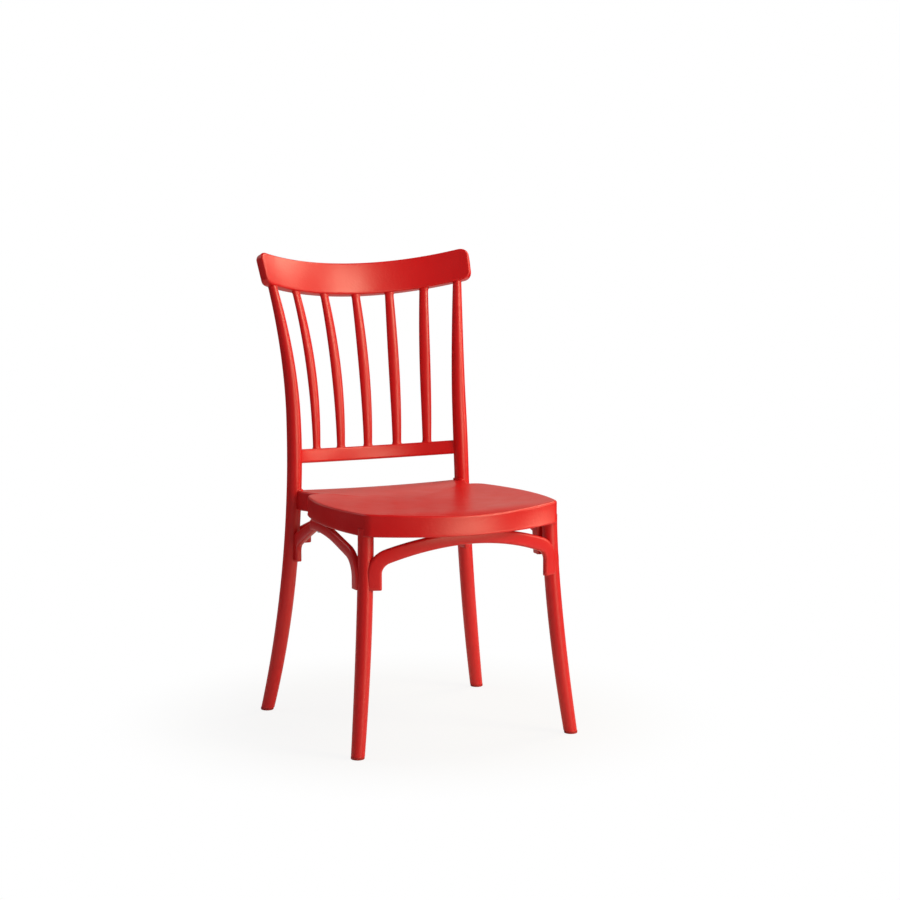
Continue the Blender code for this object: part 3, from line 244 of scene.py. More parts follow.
class FixingSizes(PropertyGroup):
    """Stacking lugs, seat blocks and screw heads"""

    lug_bottom: length("Lug bottom", 0.347, "Lower face of the stacking lugs")
    lug_round: length("Lug rounding", 0.0025, "Of the lugs' edges")
    lug_x: lengths("Front lug width", (0.004, 0.0220), "From and to, inward of the leg's axis")
    lug_lean: number("Lug lean", 0.058, "How much a front lug leans out towards its foot")
    lug_sunk: length("Lug sunk", 0.004, "How far a front lug's top is let into the seat's block")
    lug_y: lengths("Front lug length", (0.012, 0.034), "From and to, behind the leg's axis")
    rear_lug: lengths("Rear lug", (0.0152, 0.0185, 0.0255), "Thickness, length and height")
    rear_lug_forward: length("Rear lug place", 0.0405, "Its front, forward of the post's axis")
    block_reach: length("Block reach", 0.026, "Seat blocks, inward of a leg's or post's axis")
    post_block: length("Post block", 0.034, "Its length, forward of the post's axis")
    leg_block: lengths("Leg block", (0.010, 0.0085), "Seat block, outward and forward of a front leg's axis")
    block_edge: length("Block edge", 0.001, "Rounding of that block's edges")
    clearance: length("Clearance", 0.0003, "Gap between a rear lug and its side strip")
    head_radius: length("Head radius", 0.0045, "Of a bolt or screw head")
    head: length("Head height", 0.003, "Of a bolt or screw head")
    head_sunk: number("Head sunk", 0.6, "How far a head is let into its face, as a share of its height")
    head_turn: angle("Head turn", 22.918, "How far the crosses of the upright screws are turned")


class Finish(PropertyGroup):
    """Colours and the spacing of patterns"""

    red: colour("Red", "DA1116", "Polypropylene, coloured right through")
    red_deep: colour("Deep red", "D00F13", "The same, where the flow of the melt left it darker")
    nylon: colour("Glide red", "B8160E", "Nylon of the foot caps")
    zinc: colour("Zinc", "B9BCC0", "Plated steel of the screws")
    floor: colour("Floor", "D2D2D2", "Studio floor")
    warm: colour("Softbox", "FFEFCB", "Light of the softboxes at the front right")
    grain: length("Grain", 0.005, "Spacing of the moulded grain")
    grain_depth: length("Grain depth", 0.0006, "Of the moulded grain")
    flow: length("Flow", 0.11, "Spacing of the drift of tone where the melt flowed")
    sheen: length("Sheen", 0.035, "Spacing of the drift of gloss")
    scuff: length("Scuff", 0.004, "Spacing of the scuffs on the foot caps")
    cloud: length("Cloud", 0.002, "Spacing of the clouds in the zinc")


class StageSizes(PropertyGroup):
    """Camera, lights and floor"""

    camera: lengths("Camera", (-1.871, -4.016, 1.112), "Where the camera stands, from the middle of the feet")
    heading: angle("Heading", 25.79, "Camera's turn towards +X")
    pitch: angle("Pitch", 7.35, "Camera's tilt down")
    lens: number("Lens", 91.48, "Focal length in millimetres on a 36 mm sensor")
    sky: number("Sky", 0.26, "Even light from all round")
    backdrop: number("Backdrop", 0.68, "Brightness of the backdrop where a glossy surface mirrors it")
    key: number("Key", 51.0, "Power of the tall high softbox at the front right")
    side: number("Side", 22.0, "Power of the high softbox at the right")
    edge: number("Edge", 18.0, "Power of the low softbox at the right")
    rear: number("Rear", 13.0, "Power of the high softbox at the rear left")
    fill: number("Fill", 24.0, "Power of the low softbox in front")
    shadow: number("Shadow", 0.12, "How much of the chair's shadow the paper under it keeps")
    shadow_reach: lengths("Shadow reach", (0.25, 0.65), "Where the shadow starts to fade, and is gone")
    paper: length("Paper", 1.4, "Half the width of the sheet on the floor")
    paper_fade: lengths("Paper fade", (1.0, 1.4), "Where mirrored paper starts to turn white, and has turned")
    aim_height: length("Aim height", 0.5, "Where the softboxes are aimed")


class ChairSettings(PropertyGroup):
    """All the groups"""

    seat: PointerProperty(type=SeatSizes)
    legs: PointerProperty(type=LegSizes)
    back: PointerProperty(type=BackSizes)
    arches: PointerProperty(type=ArchSizes)
    fixings: PointerProperty(type=FixingSizes)
    finish: PointerProperty(type=Finish)
    stage: PointerProperty(type=StageSizes)


def sizes(group):
    """One group of the chair's settings."""
    return getattr(bpy.context.scene.chair, group)


# Meshes


def spread(low, high, count):
    """Evenly spaced values from low to high."""
    return [low + (high - low) * i / (count - 1) for i in range(count)]


def full_turn(count):
    """Angles at even steps once round."""
    return [2 * math.pi * i / count for i in range(count)]


class Shell:
    """Points and faces that become one mesh."""

    def __init__(self):
        self.points = []
        self.faces = []

    def loft(self, rings, start="flat", end="flat", side=1):
        """Skin over rings of equal point counts. An end is flat, drawn to its middle point, or left open."""
        count = len(rings[0])
        first = len(self.points)
        for ring in rings:
            self.points += [Vector((side * p.x, p.y, p.z)) for p in ring]
        for r in range(len(rings) - 1):
            low = first + r * count
            for i in range(count):
                j = (i + 1) % count
                self.faces.append((low + i, low + j, low + count + j, low + count + i))
        for ring, at, way in ((rings[0], first, start), (rings[-1], first + (len(rings) - 1) * count, end)):
            if way == "flat":
                self.faces.append(tuple(range(at, at + count)))
            if way == "point":
                middle = sum(ring, Vector((0, 0, 0))) / count
                self.points.append(Vector((side * middle.x, middle.y, middle.z)))
                tip = len(self.points) - 1
                self.faces += [(at + i, at + (i + 1) % count, tip) for i in range(count)]

    def mesh(self, name, sharp=40):
        """The finished mesh, smooth but for edges sharper than an angle, moved to its place in the frame."""
        mesh = bpy.data.meshes.new(name)
        mesh.from_pydata([p + FEET_MIDDLE for p in self.points], [], self.faces)
        return smoothed(mesh, sharp)


def smoothed(mesh, sharp):
    """The mesh, with its faces turned outward and shaded smooth but for its sharp edges."""
    shape = bmesh.new()
    shape.from_mesh(mesh)
    bmesh.ops.recalc_face_normals(shape, faces=shape.faces)
    shape.to_mesh(mesh)
    shape.free()
    mesh.shade_smooth()
    mesh.set_sharp_from_angle(angle=math.radians(sharp))
    return mesh


def add_piece(name, mesh, material, nodes):
    """Show a finished mesh in place of CAD nodes."""
    mesh.materials.clear()
    mesh.materials.append(material)
    piece = bpy.data.objects.new(name, mesh)
    bpy.context.scene.collection.objects.link(piece)
    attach(piece, "root")
    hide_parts(*nodes)


def both(*names):
    """The left and right names of each kind of node."""
    return [f"{name}_{label}" for name in names for label, side in SIDES]


def box_section(centre, across, along, width, height, edge, steps=6):
    """A ring in the shape of a rectangle with rounded corners."""
    ring = []
    for quarter, (a, b) in enumerate(((1, 1), (-1, 1), (-1, -1), (1, -1))):
        corner = centre + across * (a * (width / 2 - edge)) + along * (b * (height / 2 - edge))
        for t in spread(math.pi / 2 * quarter, math.pi / 2 * (quarter + 1), steps):
            ring.append(corner + across * (edge * math.cos(t)) + along * (edge * math.sin(t)))
    return ring


def block(shell, low, high, edge, side=1, lean=0.0):
    """An upright block with all its edges rounded; it may lean out towards its foot."""
    middle = (low + high) / 2
    width = high.x - low.x
    depth = high.y - low.y
    turns = spread(0, math.pi / 2, 5)
    ends = [(edge * (1 - math.sin(t)), edge * (1 - math.cos(t))) for t in turns]
    levels = [(low.z + rise, drawn) for drawn, rise in ends]
    levels += [(high.z - rise, drawn) for drawn, rise in reversed(ends)]
    axes = (Vector((1, 0, 0)), Vector((0, 1, 0)))
    rings = []
    for z, drawn in levels:
        at = Vector((middle.x + lean * (high.z - z), middle.y, z))
        rings.append(box_section(at, *axes, width - 2 * drawn, depth - 2 * drawn, edge))
    shell.loft(rings, side=side)


# Node trees


def add_node(tree, kind, links=None, **settings):
    """Add a node, set its properties and input values, and link sockets into it."""
    node = tree.nodes.new(kind)
    for name, value in settings.items():
        if hasattr(node, name):
            setattr(node, name, value)
        else:
            raise RuntimeError(f"{kind} has no setting {name}")
    for socket, source in (links or {}).items():
        if hasattr(source, "is_output"):
            tree.links.new(source, node.inputs[socket])
        else:
            node.inputs[socket].default_value = source
    return node


def new_geometry_tree(name, inputs):
    """An empty geometry tree with named inputs, its input node and its output node."""
    tree = bpy.data.node_groups.new(name, "GeometryNodeTree")
    tree.interface.new_socket(name="Geometry", in_out="INPUT", socket_type="NodeSocketGeometry")
    for label, kind in inputs:
        tree.interface.new_socket(name=label, in_out="INPUT", socket_type=kind)
    tree.interface.new_socket(name="Geometry", in_out="OUTPUT", socket_type="NodeSocketGeometry")
    return tree, add_node(tree, "NodeGroupInput"), add_node(tree, "NodeGroupOutput")


def sweep_tree():
    """Sweeps an oval along each path: the points' own swell scales it, and their facing turns it."""
    name = "swept_bars"
    if name in bpy.data.node_groups:
        return bpy.data.node_groups[name]
    inputs = (("Width", "NodeSocketFloat"), ("Depth", "NodeSocketFloat"), ("Sides", "NodeSocketInt"))
    tree, given, result = new_geometry_tree(name, inputs + (("Material", "NodeSocketMaterial"),))
    values = given.outputs
    paths = add_node(tree, "GeometryNodeMeshToCurve", {"Mesh": values["Geometry"]})
    facing = add_node(tree, "GeometryNodeInputNamedAttribute", {"Name": "facing"}, data_type="FLOAT_VECTOR")
    swell = add_node(tree, "GeometryNodeInputNamedAttribute", {"Name": "swell"}, data_type="FLOAT")
    links = {"Curve": paths.outputs["Curve"], "Normal": facing.outputs["Attribute"]}
    turned = add_node(tree, "GeometryNodeSetCurveNormal", links, mode="FREE")
    links = {"Resolution": values["Sides"], "Radius": 0.5}
    ring = add_node(tree, "GeometryNodeCurvePrimitiveCircle", links)
    size = add_node(tree, "ShaderNodeCombineXYZ", {"X": values["Depth"], "Y": values["Width"], "Z": 1.0})
    links = {"Geometry": ring.outputs["Curve"], "Scale": size.outputs["Vector"]}
    oval = add_node(tree, "GeometryNodeTransform", links)
    links = {"Curve": turned.outputs["Curve"], "Profile Curve": oval.outputs["Geometry"]}
    links |= {"Scale": swell.outputs["Attribute"], "Fill Caps": True}
    bars = add_node(tree, "GeometryNodeCurveToMesh", links)
    real = add_node(tree, "GeometryNodeRealizeInstances", {"Geometry": bars.outputs["Mesh"]})
    links = {"Geometry": real.outputs["Geometry"], "Material": values["Material"]}
    done = add_node(tree, "GeometryNodeSetMaterial", links)
    tree.links.new(done.outputs["Geometry"], result.inputs["Geometry"])
    return tree


def repeat_tree():
    """Sets a copy of one object on each point, turned as the point's own turn says."""
    name = "repeated_pieces"
    if name in bpy.data.node_groups:
        return bpy.data.node_groups[name]
    inputs = (("Piece", "NodeSocketObject"), ("Material", "NodeSocketMaterial"))
    tree, given, result = new_geometry_tree(name, inputs)
    values = given.outputs
    source = add_node(tree, "GeometryNodeObjectInfo", {"Object": values["Piece"], "As Instance": True})
    turn = add_node(tree, "GeometryNodeInputNamedAttribute", {"Name": "turn"}, data_type="FLOAT_VECTOR")
    rotation = add_node(tree, "FunctionNodeEulerToRotation", {"Euler": turn.outputs["Attribute"]})
    links = {"Points": values["Geometry"], "Instance": source.outputs["Geometry"]}
    links["Rotation"] = rotation.outputs["Rotation"]
    copies = add_node(tree, "GeometryNodeInstanceOnPoints", links)
    real = add_node(tree, "GeometryNodeRealizeInstances", {"Geometry": copies.outputs["Instances"]})
    links = {"Geometry": real.outputs["Geometry"], "Material": values["Material"]}
    done = add_node(tree, "GeometryNodeSetMaterial", links)
    tree.links.new(done.outputs["Geometry"], result.inputs["Geometry"])
    return tree


def through_tree(name, mesh, tree, values, sharp=40):
    """The plain mesh that a geometry tree makes from a mesh of points or paths."""
    guide = bpy.data.objects.new(name, mesh)
    bpy.context.scene.collection.objects.link(guide)
    modifier = guide.modifiers.new(name, "NODES")
    modifier.node_group = tree
    for item in tree.interface.items_tree:
        if item.name in values:
            modifier[item.identifier] = values[item.name]
    graph = bpy.context.evaluated_depsgraph_get()
    made = bpy.data.meshes.new_from_object(guide.evaluated_get(graph))
    guide.modifiers.clear()
    bpy.data.objects.remove(guide, do_unlink=True)
    if not made.polygons:
        raise RuntimeError(f"{name}: the geometry tree made no faces")
    for attribute in [a.name for a in made.attributes if a.name in ("facing", "swell", "turn")]:
        made.attributes.remove(made.attributes[attribute])
    return smoothed(made, sharp)


def swept(name, paths, width, depth, sides, material):
    """Bars along paths: each path is a list of (place, facing, swell)."""
    mesh = bpy.data.meshes.new(f"{name}_paths")
    points = [stop for path in paths for stop in path]
    edges = []
    first = 0
    for path in paths:
        edges += [(first + i, first + i + 1) for i in range(len(path) - 1)]
        first += len(path)
    mesh.from_pydata([stop[0] + FEET_MIDDLE for stop in points], edges, [])
    mesh.attributes.new("facing", "FLOAT_VECTOR", "POINT")
    mesh.attributes["facing"].data.foreach_set("vector", [v for stop in points for v in stop[1]])
    mesh.attributes.new("swell", "FLOAT", "POINT")
    mesh.attributes["swell"].data.foreach_set("value", [stop[2] for stop in points])
    values = {"Width": width, "Depth": depth, "Sides": sides, "Material": material}
    return through_tree(name, mesh, sweep_tree(), values)


def repeated(name, master, places, material):
    """Copies of a small mesh at places: each is (place, turn)."""
    source = bpy.data.objects.new(f"{name}_master", master)
    bpy.context.scene.collection.objects.link(source)
    mesh = bpy.data.meshes.new(f"{name}_places")
    mesh.from_pydata([at + FEET_MIDDLE for at, turn in places], [], [])
    turns = mesh.attributes.new("turn", "FLOAT_VECTOR", "POINT")
    turns.data.foreach_set("vector", [v for at, turn in places for v in turn])
    made = through_tree(name, mesh, repeat_tree(), {"Piece": source, "Material": material})
    bpy.data.objects.remove(source, do_unlink=True)
    return made


# Materials


def new_material(name):
    """A new material, its node tree and its main shader."""
    material = bpy.data.materials.new(name)
    material.use_nodes = True
    tree = material.node_tree
    return material, tree, tree.nodes["Principled BSDF"]


def drift(tree, shader, noise, span, roughness):
    """Let a noise between two levels carry a surface's roughness between two values."""
    links = {"Value": noise.outputs["Fac"], "From Min": span[0], "From Max": span[1]}
    links |= {"To Min": roughness[0], "To Max": roughness[1]}
    rough = add_node(tree, "ShaderNodeMapRange", links)
    tree.links.new(rough.outputs["Result"], shader.inputs["Roughness"])


def blend(tree, shader, noise, first, second):
    """Let a noise carry a surface's colour from one to another."""
    links = {0: noise.outputs["Fac"], 6: (*first, 1), 7: (*second, 1)}
    tone = add_node(tree, "ShaderNodeMix", links, data_type="RGBA")
    tree.links.new(tone.outputs[2], shader.inputs["Base Color"])


def moulded_polypropylene():
    """Polypropylene, injection moulded in a finely grained tool and coloured right through.

    The eye sees a satin sheen that breaks up into fine grain, and a slow drift of tone and gloss where the
    melt flowed. The grain of the real tool is about 0.3 mm; it is drawn about 5 mm wide, because 0.3 mm is
    too fine to show.
    """
    name = "moulded_polypropylene"
    if name in bpy.data.materials:
        return bpy.data.materials[name]
    look = sizes("finish")
    material, tree, shader = new_material(name)
    where = add_node(tree, "ShaderNodeTexCoord").outputs["Object"]
    flow = add_node(tree, "ShaderNodeTexNoise", {"Vector": where, "Scale": 1 / look.flow, "Detail": 2.0})
    blend(tree, shader, flow, look.red, look.red_deep)
    gloss = add_node(tree, "ShaderNodeTexNoise", {"Vector": where, "Scale": 1 / look.sheen, "Detail": 3.0})
    drift(tree, shader, gloss, span=(0.3, 0.7), roughness=(0.32, 0.37))
    grain = add_node(tree, "ShaderNodeTexNoise", {"Vector": where, "Scale": 1 / look.grain, "Detail": 2.0})
    links = {"Height": grain.outputs["Fac"], "Strength": 0.42, "Distance": look.grain_depth}
    bump = add_node(tree, "ShaderNodeBump", links)
    tree.links.new(bump.outputs["Normal"], shader.inputs["Normal"])
    shader.inputs["IOR"].default_value = 1.49
    shader.inputs["Specular IOR Level"].default_value = 0.62
    return material


def moulded_nylon():
    """Nylon, injection moulded: the foot caps are a little duller and darker than the legs, and scuffed."""
    name = "moulded_nylon"
    if name in bpy.data.materials:
        return bpy.data.materials[name]
    look = sizes("finish")
    material, tree, shader = new_material(name)
    where = add_node(tree, "ShaderNodeTexCoord").outputs["Object"]
    scuff = add_node(tree, "ShaderNodeTexNoise", {"Vector": where, "Scale": 1 / look.scuff, "Detail": 3.0})
    drift(tree, shader, scuff, span=(0.35, 0.7), roughness=(0.48, 0.62))
    worn = [v * 0.8 for v in look.nylon]
    blend(tree, shader, scuff, look.nylon, worn)
    shader.inputs["IOR"].default_value = 1.53
    return material


def zinc_plated_steel():
    """Steel with a zinc plating: a bright grey metal, whose tone and gloss are cloudy from the bath."""
    name = "zinc_plated_steel"
    if name in bpy.data.materials:
        return bpy.data.materials[name]
    look = sizes("finish")
    material, tree, shader = new_material(name)
    where = add_node(tree, "ShaderNodeTexCoord").outputs["Object"]
    cloud = add_node(tree, "ShaderNodeTexNoise", {"Vector": where, "Scale": 1 / look.cloud, "Detail": 3.0})
    drift(tree, shader, cloud, span=(0.3, 0.7), roughness=(0.28, 0.42))
    dull = [v * 0.85 for v in look.zinc]
    blend(tree, shader, cloud, look.zinc, dull)
    shader.inputs["Metallic"].default_value = 1.0
    return material


# Paths of the legs, posts and back


def swing(start, end, share, power):
    """A value that leaves its start slowly and reaches its end at share 1."""
    return start + (end - start) * max(share, 0.0) ** power


def front_axis(z):
    """Axis of the right front leg at a height."""
    legs = sizes("legs")
    skirt = sizes("seat").skirt
    share = (skirt - z) / skirt
    x, y = (swing(legs.front_top[i], legs.front_foot[i], share, legs.front_splay[i]) for i in (0, 1))
    return Vector((x, y, z))


def post_axis(z):
    """Axis of the right rear post at a height: in to a waist, then out and back."""
    legs = sizes("legs")
    top = legs.post_top[2]
    spots = []
    for i, (start, level) in enumerate((legs.waist, legs.upright)):
        if z < level:
            spots.append(swing(start, legs.rear_foot[i], (level - z) / level, legs.rear_splay[i]))
        else:
            spots.append(swing(start, legs.post_top[i], (z - level) / (top - level), legs.back_splay[i]))
    return Vector((*spots, z))


def leg_radius(z):
    """A leg thickens from its foot over the lower two thirds of its length."""
    legs = sizes("legs")
    full = sizes("seat").skirt * 2 / 3
    share = max(full - z, 0.0) / full
    return legs.radius - (legs.radius - legs.foot_radius) * share**2


def post_radius(z):
    """A post is a leg below, and thins towards the crest rail."""
    legs = sizes("legs")
    if z < legs.taper_from:
        return leg_radius(z)
    share = (z - legs.taper_from) / (legs.post_top[2] - legs.taper_from)
    return legs.radius - (legs.radius - legs.top_radius) * share**legs.taper


def bow_radius(end, bow):
    """Radius of the arc through two posts that stands back by the bow half way between them."""
    return (end.x**2 + bow**2) / (2 * bow)


def back_curve(end, bow, lean, x):
    """A point on a back rail's middle line, which bows back between the posts in a leaning plane."""
    radius = bow_radius(end, bow)
    behind = bow - (radius - math.sqrt(radius**2 - x**2))
    return Vector((x, end.y + behind * math.cos(lean), end.z - behind * math.sin(lean)))


def back_section(end, bow, lean, x):
    """Centre, thickness direction and height direction of a back rail at x."""
    step = 0.001
    run = back_curve(end, bow, lean, x + step) - back_curve(end, bow, lean, x - step)
    rise = Vector((0, math.sin(lean), math.cos(lean)))
    return back_curve(end, bow, lean, x), run.cross(rise).normalized(), rise


def crest_line():
    """End, bow and lean of the crest rail, which stands on the post ends."""
    back = sizes("back")
    rise = Vector((0, math.sin(back.crest_lean), math.cos(back.crest_lean)))
    return Vector(sizes("legs").post_top) + rise * (back.crest_height / 2), back.crest_bow, back.crest_lean


def rail_line():
    """End, bow and lean of the lower back rail, which runs into the posts."""
    back = sizes("back")
    return post_axis(back.rail_z), back.rail_bow, back.rail_lean


# Seat

# Rings of the sitting panel, as shares of the way from its middle to the rim, above and below
PANEL_RINGS = (0.05, 0.12, 0.2, 0.28, 0.36, 0.44, 0.52, 0.6, 0.68, 0.75, 0.82, 0.88, 0.93, 0.97)
UNDER_RINGS = (0.9, 0.75, 0.6, 0.45, 0.3, 0.15)
# The bead along the skirt: height above the skirt's edge, and how far out as a share of the bead
BEAD_PROFILE = ((0.0046, 0.0), (0.0036, 0.6), (0.0030, 1.0), (0.0008, 1.0), (0.0002, 0.5), (0.0, -0.4))
# How late the dish starts to sink away from the rim
DISH_EASE = 1.3
# Passes that even out the panel's height round each ring, and the last ring that gets them
EVEN_PASSES = 18
EVEN_UP_TO = 0.95
# Point spacing of the outline along the ears, at the posts and along the rear
EAR_STEP = 0.008
POST_STEP = 0.006
REAR_STEP = 0.014
# The most that a corner of the outline is stretched when it moves inwards
MITRE_LIMIT = 2.0
# Where a cross rib ends inside the skirt's wall: in from the wall's outer face, in wall thicknesses
RIB_END = 0.6
# The bead round a post: its start and end in degrees, its thickness at the tips as a share of the full one,
# how fast it swells from there, and how far its middle lies out and up, in shares of its thickness
COLLAR_ARC = (96, 268)
COLLAR_TIP = 0.2
COLLAR_SWELL = 5
COLLAR_OUT = 0.3
COLLAR_UP = 0.2


def circles_meet(centre_a, radius_a, centre_b, radius_b):
    """The crossing of two circles that lies further to +X."""
    gap = centre_b - centre_a
    far = gap.length
    along = (far**2 + radius_a**2 - radius_b**2) / (2 * far)
    aside = math.sqrt(radius_a**2 - along**2)
    middle = centre_a + gap * (along / far)
    normal = Vector((-gap.y, gap.x)) / far
    return max(middle + normal * aside, middle - normal * aside, key=lambda p: p.x)


def arc(centre, radius, start, end, count):
    """Points round a centre from one angle to another."""
    return [centre + Vector((math.cos(t), math.sin(t))) * radius for t in spread(start, end, count)]


def angle_to(centre, point):
    """Direction of a point from a centre, in plan."""
    return math.atan2(point.y - centre.y, point.x - centre.x)


def rounded_corner(before, corner, after, radius, count):
    """Points of an arc that rounds a corner between two straight edges."""
    start = (before - corner).normalized()
    end = (after - corner).normalized()
    half = math.acos(max(-1.0, min(1.0, start.dot(end)))) / 2
    centre = corner + (start + end).normalized() * (radius / math.sin(half))
    reach = radius / math.tan(half)
    first = angle_to(centre, corner + start * reach)
    last = angle_to(centre, corner + end * reach)
    turn = (last - first + math.pi) % (2 * math.pi) - math.pi
    return arc(centre, radius, first, first + turn, count)


def stations(points, spacing):
    """Points along a line at about even spacing, its own points kept."""
    line = [points[0]]
    for a, b in zip(points, points[1:]):
        count = max(1, round((b - a).length / spacing))
        line += [a.lerp(b, i / count) for i in range(1, count + 1)]
    return line


def seat_outline():
    """The seat's outer edge in plan, anticlockwise from the front middle."""
    seat = sizes("seat")
    front = Vector((0, seat.front_bow - seat.front))
    side = Vector((seat.half_width - seat.side_bow, seat.widest))
    corner = circles_meet(front, seat.front_bow - seat.corner, side, seat.side_bow - seat.corner)
    lobe_y = seat.shoulder - seat.lobe
    lobe = Vector((side.x + math.sqrt((seat.side_bow - seat.lobe) ** 2 - (lobe_y - side.y) ** 2), lobe_y))
    from_front = angle_to(front, corner)
    to_side = angle_to(side, corner)
    to_lobe = angle_to(side, lobe)
    post = post_axis(seat.height)
    ear = Vector((post.x, post.y - sizes("legs").radius))
    back_corner = Vector((post.x, seat.rear))
    points = arc(front, seat.front_bow, -math.pi / 2, from_front, 34)
    points += arc(corner, seat.corner, from_front, to_side, 16)[1:]
    points += arc(side, seat.side_bow, to_side, to_lobe, 36)[1:]
    points += arc(lobe, seat.lobe, to_lobe, math.pi / 2, 18)[1:]
    notch = Vector((seat.notch, seat.shoulder))
    turn = rounded_corner(points[-1], notch, ear, seat.notch_round, 8)
    points = points[:-1] + stations([points[-1], turn[0]], EAR_STEP) + turn[1:-1]
    points += stations([turn[-1], ear], EAR_STEP)
    points += stations([ear, back_corner], POST_STEP)[1:]
    rear = stations([back_corner, Vector((-back_corner.x, back_corner.y))], REAR_STEP)[1:-1]
    return points + rear + [Vector((-p.x, p.y)) for p in reversed(points[1:])]


def inset(outline, distance):
    """The outline moved inwards by a distance."""
    moved = []
    count = len(outline)
    for i, point in enumerate(outline):
        before = (point - outline[i - 1]).normalized()
        after = (outline[(i + 1) % count] - point).normalized()
        normal = Vector((-before.y - after.y, before.x + after.x)).normalized()
        stretch = 1 / max(normal.dot(Vector((-after.y, after.x))), 1 / MITRE_LIMIT)
        moved.append(point + normal * (distance * stretch))
    return moved


def rim_height(x, y):
    """Height of the seat's rim: it falls to the rear, and its front and rear edges dip in the middle."""
    seat = sizes("seat")
    front = seat.front_dip * (max(seat.corner_y - y, 0.0) / (seat.front + seat.corner_y)) ** 2
    fall = seat.fall * (y + seat.front) / (seat.rear + seat.front)
    dip = seat.dip * max(y / seat.rear, 0.0) ** 2 * max(1 - (x / sizes("legs").upright[0]) ** 2, 0.0)
    return seat.height - fall - dip - front


def skirt_edge(y):
    """Height of the skirt's lower edge: highest at the front corners, lower at its front and rear."""
    seat = sizes("seat")
    if y < seat.corner_y:
        return seat.edge - seat.front_drop * ((seat.corner_y - y) / (seat.front + seat.corner_y)) ** 2
    return seat.edge - seat.rear_drop * ((y - seat.corner_y) / (seat.rear - seat.corner_y)) ** 2


def dish_depth(distance):
    """How far the sitting panel has sunk at a distance in from the rim."""
    seat = sizes("seat")
    share = min(distance / seat.dish_run, 1.0)
    return seat.dish * share**DISH_EASE * (1 + DISH_EASE - DISH_EASE * share)


def edge_distance(point, outline):
    """Distance in plan from a point to the outline."""
    return min((point - other).length for other in outline)


def evened(heights):
    """Heights round a ring, each averaged with its neighbours."""
    before = heights[-1:] + heights[:-1]
    after = heights[1:] + heights[:1]
    return [(a + 2 * b + c) / 4 for a, b, c in zip(before, heights, after)]


def seat_rings(outline):
    """Rings from the middle of the top, over the rim, down the skirt, round its bead and in under it."""
    seat = sizes("seat")
    rim = inset(outline, seat.rim)
    quarter = math.pi / 2
    rings = []
    for share in PANEL_RINGS:
        ring = [p * share for p in rim]
        heights = [panel_height(p.x, p.y, rim) for p in ring]
        if share < EVEN_UP_TO:
            for again in range(EVEN_PASSES):
                heights = evened(heights)
        rings.append([Vector((*p, z)) for p, z in zip(ring, heights)])
    tops = [rim_height(p.x, p.y) for p in rim]
    for t in spread(0, quarter, 9):
        drawn = inset(outline, seat.rim * (1 - math.sin(t)))
        drop = seat.rim * (1 - math.cos(t))
        rings.append([Vector((*p, top - drop)) for p, top in zip(drawn, tops)])
    wall = [(rise, -seat.bead * out) for rise, out in BEAD_PROFILE]
    wall += [(0.0, seat.wall - seat.bead), (seat.bead, seat.wall)]
    for rise, drawn in wall:
        rings.append([Vector((*p, skirt_edge(p.y) + rise)) for p in inset(outline, drawn)])
    for t in spread(0, quarter, 5):
        drawn = inset(outline, seat.wall + seat.rim * (1 - math.cos(t)))
        drop = seat.panel + seat.rim * (1 - math.sin(t))
        rings.append([Vector((*p, top - drop)) for p, top in zip(drawn, tops)])
    last = inset(outline, seat.wall + seat.rim)
    for share in UNDER_RINGS:
        ring = [p * share for p in last]
        rings.append([Vector((*p, panel_height(p.x, p.y, rim) - seat.panel)) for p in ring])
    return rings


def panel_height(x, y, outline):
    """Height of the sitting surface at a place in plan."""
    return rim_height(x, y) - dish_depth(edge_distance(Vector((x, y)), outline))


def add_ribs(shell, outline):
    """Ribs under the panel, two from front to back and two from side to side."""
    seat = sizes("seat")
    lines = []
    for x in (seat.rib_aside, -seat.rib_aside):
        front = seat.rib_ends[0] - seat.front
        rear = seat.rear - seat.rib_ends[1]
        lines.append((Vector((x, front)), Vector((x, rear))))
    for y in seat.rib_rows:
        side = min((p for p in outline if p.x > 0), key=lambda p: abs(p.y - y))
        reach = side.x - RIB_END * seat.wall
        lines.append((Vector((-reach, y)), Vector((reach, y))))
    low = seat.height - seat.fall - seat.dish - seat.panel - seat.rib_depth
    for start, end in lines:
        run = (end - start).normalized()
        across = Vector((-run.y, run.x, 0))
        rings = []
        for share in spread(0, 1, 25):
            at = start.lerp(end, share)
            high = panel_height(at.x, at.y, outline) - seat.panel / 2
            middle = Vector((at.x, at.y, (high + low) / 2))
            rings.append(box_section(middle, across, UP, seat.rib_wall, high - low, seat.rib_edge, steps=3))
        shell.loft(rings)


def add_collar(shell, side):
    """The bead round a post where it rises out of the seat, on the sides that the seat reaches."""
    seat = sizes("seat")
    radius = sizes("legs").radius
    post = post_axis(seat.height)
    start, end = (math.radians(angle) for angle in COLLAR_ARC)
    turns = full_turn(12)
    rings = []
    for share in spread(0, 1, 33):
        turn = start + (end - start) * share
        out = Vector((math.cos(turn), math.sin(turn), 0))
        size = seat.collar * min(COLLAR_TIP + COLLAR_SWELL * min(share, 1 - share), 1.0)
        middle = Vector((post.x, post.y, 0)) + out * (radius + COLLAR_OUT * size)
        middle.z = rim_height(middle.x, middle.y) + COLLAR_UP * size
        rings.append([middle + out * (size * math.cos(t)) + UP * (size * math.sin(t)) for t in turns])
    shell.loft(rings, side=side)


